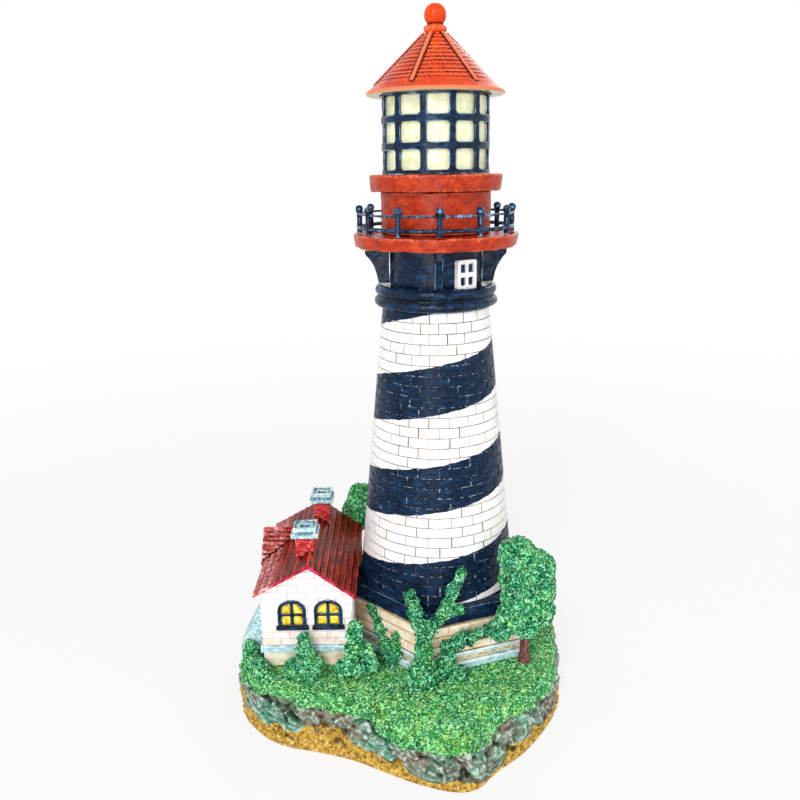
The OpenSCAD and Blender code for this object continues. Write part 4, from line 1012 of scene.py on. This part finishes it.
class LIGHTHOUSE_OT_tower(bpy.types.Operator):
    """Makes the brick shaft: a core of mortar with bricks laid round it"""

    bl_idname = "lighthouse.tower"
    bl_label = "Brick tower"

    def execute(self, context):
        sizes = context.scene.lighthouse_sizes
        foot_r = SHAFT_TOP_R + (SHAFT_Z1 - SHAFT_Z0) * SHAFT_TAPER
        turn = np.linspace(0, 2 * math.pi, SHAFT_SIDES, endpoint=False)

        def ring(r, z):
            return np.column_stack([r * np.sin(turn), -r * np.cos(turn), turn * 0 + z])

        relief, inner = sizes.brick_relief / MM, 5
        core = ring_skin([
            ring(foot_r - relief, SHAFT_Z0), ring(SHAFT_TOP_R - relief, SHAFT_Z1),
            ring(SHAFT_TOP_R - inner, SHAFT_Z1), ring(foot_r - inner, SHAFT_Z0),
        ])
        brick, joint = finish("tower_brick"), finish("tower_joint")
        core.materials.append(joint)
        height = (SHAFT_Z1 - SHAFT_Z0) * MM / sizes.courses
        mesh = grown(core, brick_tree(), {
            "Brick": brick_blank(), "Bricks": sizes.bricks, "Courses": sizes.courses,
            "Course height": height, "Joint": sizes.joint, "Relief": sizes.brick_relief,
            "Foot height": SHAFT_Z0 * MM, "Foot radius": foot_r * MM, "Taper": SHAFT_TAPER,
            "Uneven": 0.45 * MM, "Seed": 3, "Material": brick,
        })
        obj = piece("tower_bricks", mesh.copy(), SLOT["tower_shaft"], [], ["tower_shaft"], smooth=False)
        keep = [0] * len(mesh.polygons)
        mesh.polygons.foreach_get("material_index", keep)
        for mat in mesh.materials:
            obj.data.materials.append(mat)
        obj.data.polygons.foreach_set("material_index", keep)
        return {"FINISHED"}


def roughened(outline, step_mm, amount, seed):
    """An outline in (u, v) with extra points along its sides, each a little out of line."""
    points = []
    for i, a in enumerate(outline):
        b = outline[(i + 1) % len(outline)]
        n = max(1, round(math.dist(a, b) / step_mm))
        for k in range(n):
            u, v = (a[j] + (b[j] - a[j]) * k / n for j in (0, 1))
            points.append((u + amount * noise.noise(Vector((u, v, seed))),
                           v + amount * noise.noise(Vector((v, seed, u)))))
    return points


def add_block(bm, layer, outline, place, height, soft):
    """A raised block over a convex outline: a wall, a rounded shoulder and a flat face."""
    cu, cv = (sum(p[j] for p in outline) / len(outline) for j in (0, 1))
    du, dv = (max(0.01, max(abs(p[j] - c) for p in outline)) for j, c in ((0, cu), (1, cv)))
    rings = []
    for rise, inset, relief in ((-0.25, 0, 0.1), (height * 0.55, 0, 0.25), (height, soft, 0.75),
                                (height * 1.05, soft * 3, 0.6)):
        rings.append([])
        for u, v in outline:
            spot = place(cu + (u - cu) * (1 - inset / du), cv + (v - cv) * (1 - inset / dv), rise)
            vert = bm.verts.new([c * MM for c in spot])
            vert[layer] = relief
            rings[-1].append(vert)
    for low, high in zip(rings, rings[1:]):
        for i in range(len(low)):
            j = (i + 1) % len(low)
            bm.faces.new((low[i], low[j], high[j], high[i]))
    bm.faces.new(rings[-1])
    bm.faces.new(rings[0][::-1])


def block_mesh(name, make):
    """A mesh of blocks: make is called with the bmesh and its relief layer."""
    bm = bmesh.new()
    layer = bm.verts.layers.float.new("relief")
    make(bm, layer)
    bmesh.ops.recalc_face_normals(bm, faces=bm.faces)
    mesh = bpy.data.meshes.new(name)
    bm.to_mesh(mesh)
    bm.free()
    return mesh


def clipped(outline, a, b, c):
    """The part of a convex outline where a * u + b * v <= c."""
    kept = []
    for i, p in enumerate(outline):
        q = outline[(i + 1) % len(outline)]
        dp, dq = a * p[0] + b * p[1] - c, a * q[0] + b * q[1] - c
        if dp <= 0:
            kept.append(p)
        if dp * dq < 0:
            t = dp / (dp - dq)
            kept.append((p[0] + (q[0] - p[0]) * t, p[1] + (q[1] - p[1]) * t))
    return kept


def minus_rectangle(outline, u0, v0, u1, v1):
    """What is left of a convex outline outside a rectangle, as convex pieces."""
    us, vs = zip(*outline)
    if max(us) <= u0 or min(us) >= u1 or max(vs) <= v0 or min(vs) >= v1:
        return [outline]
    left = clipped(outline, 1, 0, u0)
    right = clipped(outline, -1, 0, -u1)
    middle = clipped(clipped(outline, -1, 0, -u0), 1, 0, u1)
    parts = left, right, clipped(middle, 0, 1, v0), clipped(middle, 0, -1, -v1)
    return [part for part in parts if len(part) > 2]


def bond(u0, u1, v0, v1, length, course, joint, seed):
    """The outlines of blocks in a running bond over a rectangle."""
    rows = max(1, round((v1 - v0) / course))
    height = (v1 - v0) / rows
    for row in range(rows):
        low = v0 + row * height
        cut = u0 - 0.5 * length * (row % 2) + 0.15 * length * noise.noise(Vector((row, seed, 0)))
        while cut < u1:
            nxt = cut + length * (1 + 0.16 * noise.noise(Vector((cut * 0.37, row * 2.1, seed))))
            a, b = max(cut, u0), min(nxt, u1)
            if b - a > SLIVER:
                a, b = a + joint / 2, b - joint / 2
                foot, top = low + joint / 2, low + height - joint / 2
                yield [(a, foot), (b, foot), (b, top), (a, top)]
            cut = nxt


def area(outline):
    """Area inside an outline, in square millimetres."""
    turned = zip(outline, outline[1:] + outline[:1])
    return 0.5 * abs(sum(p[0] * q[1] - q[0] * p[1] for p, q in turned))


def plinth_corner(k, e):
    """Corner of the plinth between one face and the next, with every face moved out by e."""
    (a, p), (b, q) = PLINTH[k], PLINTH[(k + 1) % len(PLINTH)]
    u, v = facing(a), facing(b)
    det = u[0] * v[1] - u[1] * v[0]
    return Vector((((p + e) * v[1] - (q + e) * u[1]) / det, (u[0] * (q + e) - v[0] * (p + e)) / det))


class LIGHTHOUSE_OT_plinth(bpy.types.Operator):
    """Makes the plinth: stones set over its core, the kerbs and the black ledge"""

    bl_idname = "lighthouse.plinth"
    bl_label = "Plinth"

    def execute(self, context):
        length = context.scene.lighthouse_sizes.stone / MM

        def stones(bm, layer):
            height = STONE_H / STONE_COURSES
            for course in range(STONE_COURSES):
                e = STONE_SPREAD * (1 - course / STONE_COURSES)
                z0 = STONE_FOOT_Z + height * course
                for k, (bearing, _) in enumerate(PLINTH):
                    a, b = plinth_corner(k - 1, e), plinth_corner(k, e)
                    along = (b - a).normalized()
                    out = Vector(facing(bearing))

                    def place(u, v, rise):
                        flat = a + along * u + out * rise
                        return flat.x, flat.y, v

                    shift = length * 0.5 * (course % 2)
                    side, seed = (b - a).length, k + course * 7
                    for outline in bond(-shift, side, z0, z0 + height, length, height, STONE_JOINT, seed):
                        outline = clipped(clipped(outline, -1, 0, -0.2), 1, 0, side - 0.2)
                        if len(outline) > 2 and area(outline) > 4:
                            add_block(bm, layer, roughened(outline, 2.2, 0.3, k), place, 0.6, 0.35)

        piece("plinth_stones", block_mesh("plinth_stones", stones), SLOT["stone_plinth"],
              [finish("cream_cast_stone")], smooth=False)
        finish_node("stone_plinth", finish("stone_joint_wash"))
        for node in ("kerb_lower", "kerb_upper"):
            cast(node, finish("kerb_paint"), 0.7, 0.4, 6, 0.15, 3.0)
        cast("plinth_ledge", finish("navy_gloss_varnish"), 0.8, 0.3, 8, 0.1)
        return {"FINISHED"}


def roof_height(x):
    """Height of the cottage's roof over a place along X."""
    side = SLOPES[0] * (RIDGE_X - x) if x < RIDGE_X else SLOPES[1] * (x - RIDGE_X)
    return RIDGE_Z - side


class LIGHTHOUSE_OT_cottage(bpy.types.Operator):
    """Makes the cottage: bricks over its walls, boards on its roof, chimneys, windows and hatch"""

    bl_idname = "lighthouse.cottage"
    bl_label = "Cottage"

    def execute(self, context):
        sizes = context.scene.lighthouse_sizes
        length, course, joint = sizes.cottage_brick / MM, sizes.cottage_course / MM, 0.42
        x0, x1 = WALL_X
        y0, y1 = WALL_Y
        # Room for each arched window: three rectangles, with a width and two heights over the sill
        windows = [(x, w * WINDOW_WIDER, lo, hi) for x in WINDOW_X for w, lo, hi in
                   ((13.6, 0, 9.6), (12.0, 9.6, 13.0), (8.0, 13.0, 16.4))]

        def walls(bm, layer):
            def lay(outline, place, seed):
                if len(outline) > 2 and area(outline) > 2.5:
                    add_block(bm, layer, roughened(outline, 2.4, 0.16, seed), place, 0.32, 0.22)

            for front in (True, False):
                wall_y, face, seed = (y0, -1, 1) if front else (y1, 1, 2)

                def place(u, v, rise):
                    return (u, wall_y + face * rise, v)

                for outline in bond(x0, x1, BAND_Z, RIDGE_Z - 2, length, course, joint, seed):
                    outline = clipped(outline, -SLOPES[0], 1, RIDGE_Z - BOARD_T - SLOPES[0] * RIDGE_X)
                    outline = clipped(outline, SLOPES[1], 1, RIDGE_Z - BOARD_T + SLOPES[1] * RIDGE_X)
                    parts = [outline]
                    for x, w, low, high in windows if front else []:
                        parts = [left for part in parts if len(part) > 2 for left in minus_rectangle(
                            part, x - w / 2, WINDOW_Z + low, x + w / 2, WINDOW_Z + high)]
                    for part in parts:
                        lay(part, place, 3)
            for wall_x, face in ((x0, -1), (x1, 1)):
                top = roof_height(wall_x) - BOARD_T

                def place(u, v, rise):
                    return (wall_x + face * rise, u, v)

                for outline in bond(y0, y1, BAND_Z, top, length, course, joint, 5 + face):
                    middle = sum(p[0] for p in outline) / len(outline)
                    # The plinth covers the middle of one wall, and the cross gable that of the other
                    if abs(middle) >= (38 if face > 0 else WING_Y + 1):
                        lay(outline, place, 6)

            def place(u, v, rise):
                return (WING_X - rise, u, v)

            for outline in bond(-WING_Y, WING_Y, BAND_Z, WING_Z - BOARD_T, length, course, joint, 9):
                outline = clipped(outline, WING_SLOPE, 1, WING_Z - BOARD_T)
                lay(clipped(outline, -WING_SLOPE, 1, WING_Z - BOARD_T), place, 8)

        piece("cottage_bricks", block_mesh("cottage_bricks", walls), SLOT["cottage_walls"],
              [finish("white_cottage_brick")], smooth=False)
        finish_node("cottage_walls", finish("lilac_joint"))
        cast("cottage_roof", finish("maroon_roof_boards"), 0.5, 0.22, (4, 16, 4), 0.08, 3.6)
        cast("cottage_footing", finish("cream_cast_stone"), 0.75, 0.5, 6, 0.2, 3.0)
        cast("cottage_band", finish("sky_blue_acrylic"), 0.7, 0.35, 5, 0.15, 3.0)
        cast("cellar_hatch", finish("sky_blue_acrylic"), 0.5, 0.4, 6, 0.2, 3.0)
        for side in ("front", "rear"):
            cast("chimney_" + side, finish("crimson_chimney"), 0.35, 0.4, 3.5, 0.15, 3.0)
            cast("chimney_" + side + "_cap", finish("sky_blue_acrylic"), 0.35, 0.35, 4, 0.12, 3.0)
        for side, x in zip(("left", "right"), WINDOW_X):
            node, wider = "window_" + side, (x, WINDOW_WIDER)
            cast(node, finish("navy_gloss_varnish"), 0.28, 0.2, 4, 0.08, wider=wider)
            cast(node + "_glass", finish("amber_glass_paint"), 0.35, 0.25, 3, 0.1, wider=wider)

        def lights(bm, layer):
            def place(u, v, rise):
                return (u, y0 + 0.1 - rise, v)

            # Four lights to a window; the outer corner of the upper ones follows the arch
            for x in WINDOW_X:
                for u0, u1 in ((-6.0, -1.0), (1.0, 6.0)):
                    for v0, v1 in ((1.6, 6.6), (8.6, 15.0)):
                        outline = [(x + u, WINDOW_Z + v) for u, v in
                                   ((u0, v0), (u1, v0), (u1, v1), (u0, v1))]
                        if v0 > 7:
                            side = 1 if u0 > 0 else -1
                            for a, b, c in ((1, 0.55, 7.8), (0.6, 1, 8.3)):
                                limit = side * a * x + b * (WINDOW_Z + 8.3) + c - 1
                                outline = clipped(outline, side * a, b, limit)
                        add_block(bm, layer, roughened(outline, 1.2, 0.12, 4), place, 0.55, 0.45)

        piece("window_lights", block_mesh("window_lights", lights), SLOT["window_left_glass"],
              [finish("amber_glass_paint")])
        return {"FINISHED"}


# ------------------------------------------------------------------ gallery, lantern and roof


class LIGHTHOUSE_OT_gallery(bpy.types.Operator):
    """Makes the neck rings, corbels, little window, gallery floor, railing and watch room"""

    bl_idname = "lighthouse.gallery"
    bl_label = "Gallery"

    def execute(self, context):
        navy, red = finish("navy_gloss_varnish"), finish("brick_red_acrylic")
        cast("neck_rings", navy, 0.68, 0.4, 9, 0.1)
        cast("corbel_drum", navy, 0.7, 0.4, 8, 0.12)
        cast("gallery_brackets", navy, 0.4, 0.35, 6, 0.1)
        cast("gallery_window", finish("white_frame_acrylic"), 0.28, 0.18, 4, 0.06)
        cast("gallery_window_glass", navy, 0.28, 0.1, 3, 0.05)
        cast("gallery_deck", red, 0.8, 0.55, 9, 0.16, 3.0)
        cast("gallery_railing", navy, 0.44, 0.3, 5, 0.08)
        cast("watch_room", red, 0.75, 0.4, 9, 0.16, 3.0)
        return {"FINISHED"}


class LIGHTHOUSE_OT_lantern(bpy.types.Operator):
    """Makes the lantern's floor, its cage of windows, the panes behind it, and the roof"""

    bl_idname = "lighthouse.lantern"
    bl_label = "Lantern and roof"

    def execute(self, context):
        cast("lantern_deck", finish("brick_red_acrylic"), 0.7, 0.5, 9, 0.16, 3.0)
        cast("lantern_cage", finish("navy_gloss_varnish"), 0.5, 0.3, 5, 0.08)
        cast("lantern_panes", finish("milky_pane_resin"), 0.75, 0.15, 7, 0.05)
        cast("lantern_roof", finish("orange_red_roof"), 0.5, 0.1, 9, 0.04, 6.5, body="roof")
        cast("roof_finial", finish("orange_red_roof"), 0.4, 0.2, 5, 0.05, 4.0, body="roof")
        return {"FINISHED"}


class LIGHTHOUSE_OT_fittings(bpy.types.Operator):
    """Gives the lamp, the wiring and everything under the base plate its finish"""

    bl_idname = "lighthouse.fittings"
    bl_label = "Lamp and underside"

    def execute(self, context):
        finishes = {
            "led_lamp": "frosted_epoxy", "led_board": "green_solder_mask", "lamp_post": "black_abs",
            "lamp_wire": "red_pvc", "battery_wire": "red_pvc", "base_plate": "black_abs",
            "base_seal": "foam_gasket", "base_screws": "zinc_plate", "battery_box": "black_abs",
            "battery_cells": "cell_sleeve", "battery_springs": "nickel_plate",
            "contact_plates": "nickel_plate", "battery_door": "black_abs",
            "door_hinge_pin": "nickel_plate", "switch_body": "black_abs", "switch_slider": "grey_abs",
        }
        for node, name in finishes.items():
            finish_node(node, finish(name))
        return {"FINISHED"}


# ------------------------------------------------------------------ stage


class LIGHTHOUSE_OT_stage(bpy.types.Operator):
    """Makes the floor, the lamps, the even light and the camera"""

    bl_idname = "lighthouse.stage"
    bl_label = "Studio"

    def execute(self, context):
        settings = context.scene.lighthouse_stage
        mesh = bpy.data.meshes.new("floor")
        mesh.from_pydata([(-6, -6, 0), (6, -6, 0), (6, 6, 0), (-6, 6, 0)], [], [(0, 1, 2, 3)])
        floor = holder("studio_floor", mesh)
        mesh.materials.append(finish("studio_paper"))

        world = bpy.data.worlds.new("studio")
        context.scene.world = world
        world.use_nodes = True
        tree = world.node_tree
        tree.nodes.clear()
        even = add(tree, "Background", "#ffffff", settings.world)
        white = add(tree, "Background", "#ffffff", 1)
        add(tree, "OutputWorld", add(tree, "MixShader", seen_directly(tree), even, white))

        for name, power, size, spot in (
            ("key", settings.key, 0.45, (-0.5, -1.42, 1.25)),
            ("fill", settings.fill, 1.2, (1.4, -0.8, 0.7)),
            ("low", settings.low, 0.9, (-0.25, -1.45, 0.2)),
            ("rear", settings.fill, 1.2, (0.5, 1.5, 1.0)),
        ):
            data = bpy.data.lights.new(name, "AREA")
            data.energy, data.size = power, size
            lamp = holder(name + "_lamp", data)
            lamp.location = spot
            towards = Vector((0, 0, 0.2)) - Vector(spot)
            lamp.rotation_euler = towards.to_track_quat("-Z", "Y").to_euler()

        pitch, roll = math.radians(16.1), math.radians(0.85)
        ahead = Vector((0, math.cos(pitch), -math.sin(pitch)))
        level, up = Vector((1, 0, 0)), Vector((0, math.sin(pitch), math.cos(pitch)))
        right = level * math.cos(roll) - up * math.sin(roll)
        up = level * math.sin(roll) + up * math.cos(roll)
        data = bpy.data.cameras.new("camera")
        data.lens, data.sensor_width, data.clip_start = 36, 36, 0.01
        camera = holder("camera", data)
        turned = Matrix((right, up, -ahead)).transposed().to_4x4()
        camera.matrix_world = Matrix.Translation((-0.022, -0.470, 0.318)) @ turned
        context.scene.camera = camera
        context.scene.view_settings.view_transform = "Standard"
        return {"FINISHED"}


class LIGHTHOUSE_PT_panel(bpy.types.Panel):
    """Lists the sizes and the pieces"""

    bl_label = "Garden lighthouse"
    bl_idname = "LIGHTHOUSE_PT_panel"
    bl_space_type = "VIEW_3D"
    bl_region_type = "UI"
    bl_category = "Lighthouse"

    def draw(self, context):
        for group in (context.scene.lighthouse_sizes, context.scene.lighthouse_stage):
            for name in group.bl_rna.properties.keys():
                if name not in ("rna_type", "name"):
                    self.layout.prop(group, name)
        for operator in OPERATORS:
            self.layout.operator(operator.bl_idname)


OPERATORS = [
    LIGHTHOUSE_OT_stage, LIGHTHOUSE_OT_island, LIGHTHOUSE_OT_plinth, LIGHTHOUSE_OT_tower,
    LIGHTHOUSE_OT_gallery, LIGHTHOUSE_OT_lantern, LIGHTHOUSE_OT_cottage, LIGHTHOUSE_OT_plants,
    LIGHTHOUSE_OT_fittings,
]
CLASSES = [LighthouseSizes, LighthouseStage, *OPERATORS, LIGHTHOUSE_PT_panel]


def register():
    for cls in CLASSES:
        bpy.utils.register_class(cls)
    bpy.types.Scene.lighthouse_sizes = bpy.props.PointerProperty(type=LighthouseSizes)
    bpy.types.Scene.lighthouse_stage = bpy.props.PointerProperty(type=LighthouseStage)


def unregister():
    del bpy.types.Scene.lighthouse_sizes
    del bpy.types.Scene.lighthouse_stage
    for cls in reversed(CLASSES):
        bpy.utils.unregister_class(cls)


def main():
    register()
    for operator in OPERATORS:
        getattr(bpy.ops.lighthouse, operator.bl_idname.split(".")[1])()
    for name in ("brick_blank", "strand_blank"):
        bpy.data.objects.remove(bpy.data.objects[name])


if __name__ == "__main__":
    main()
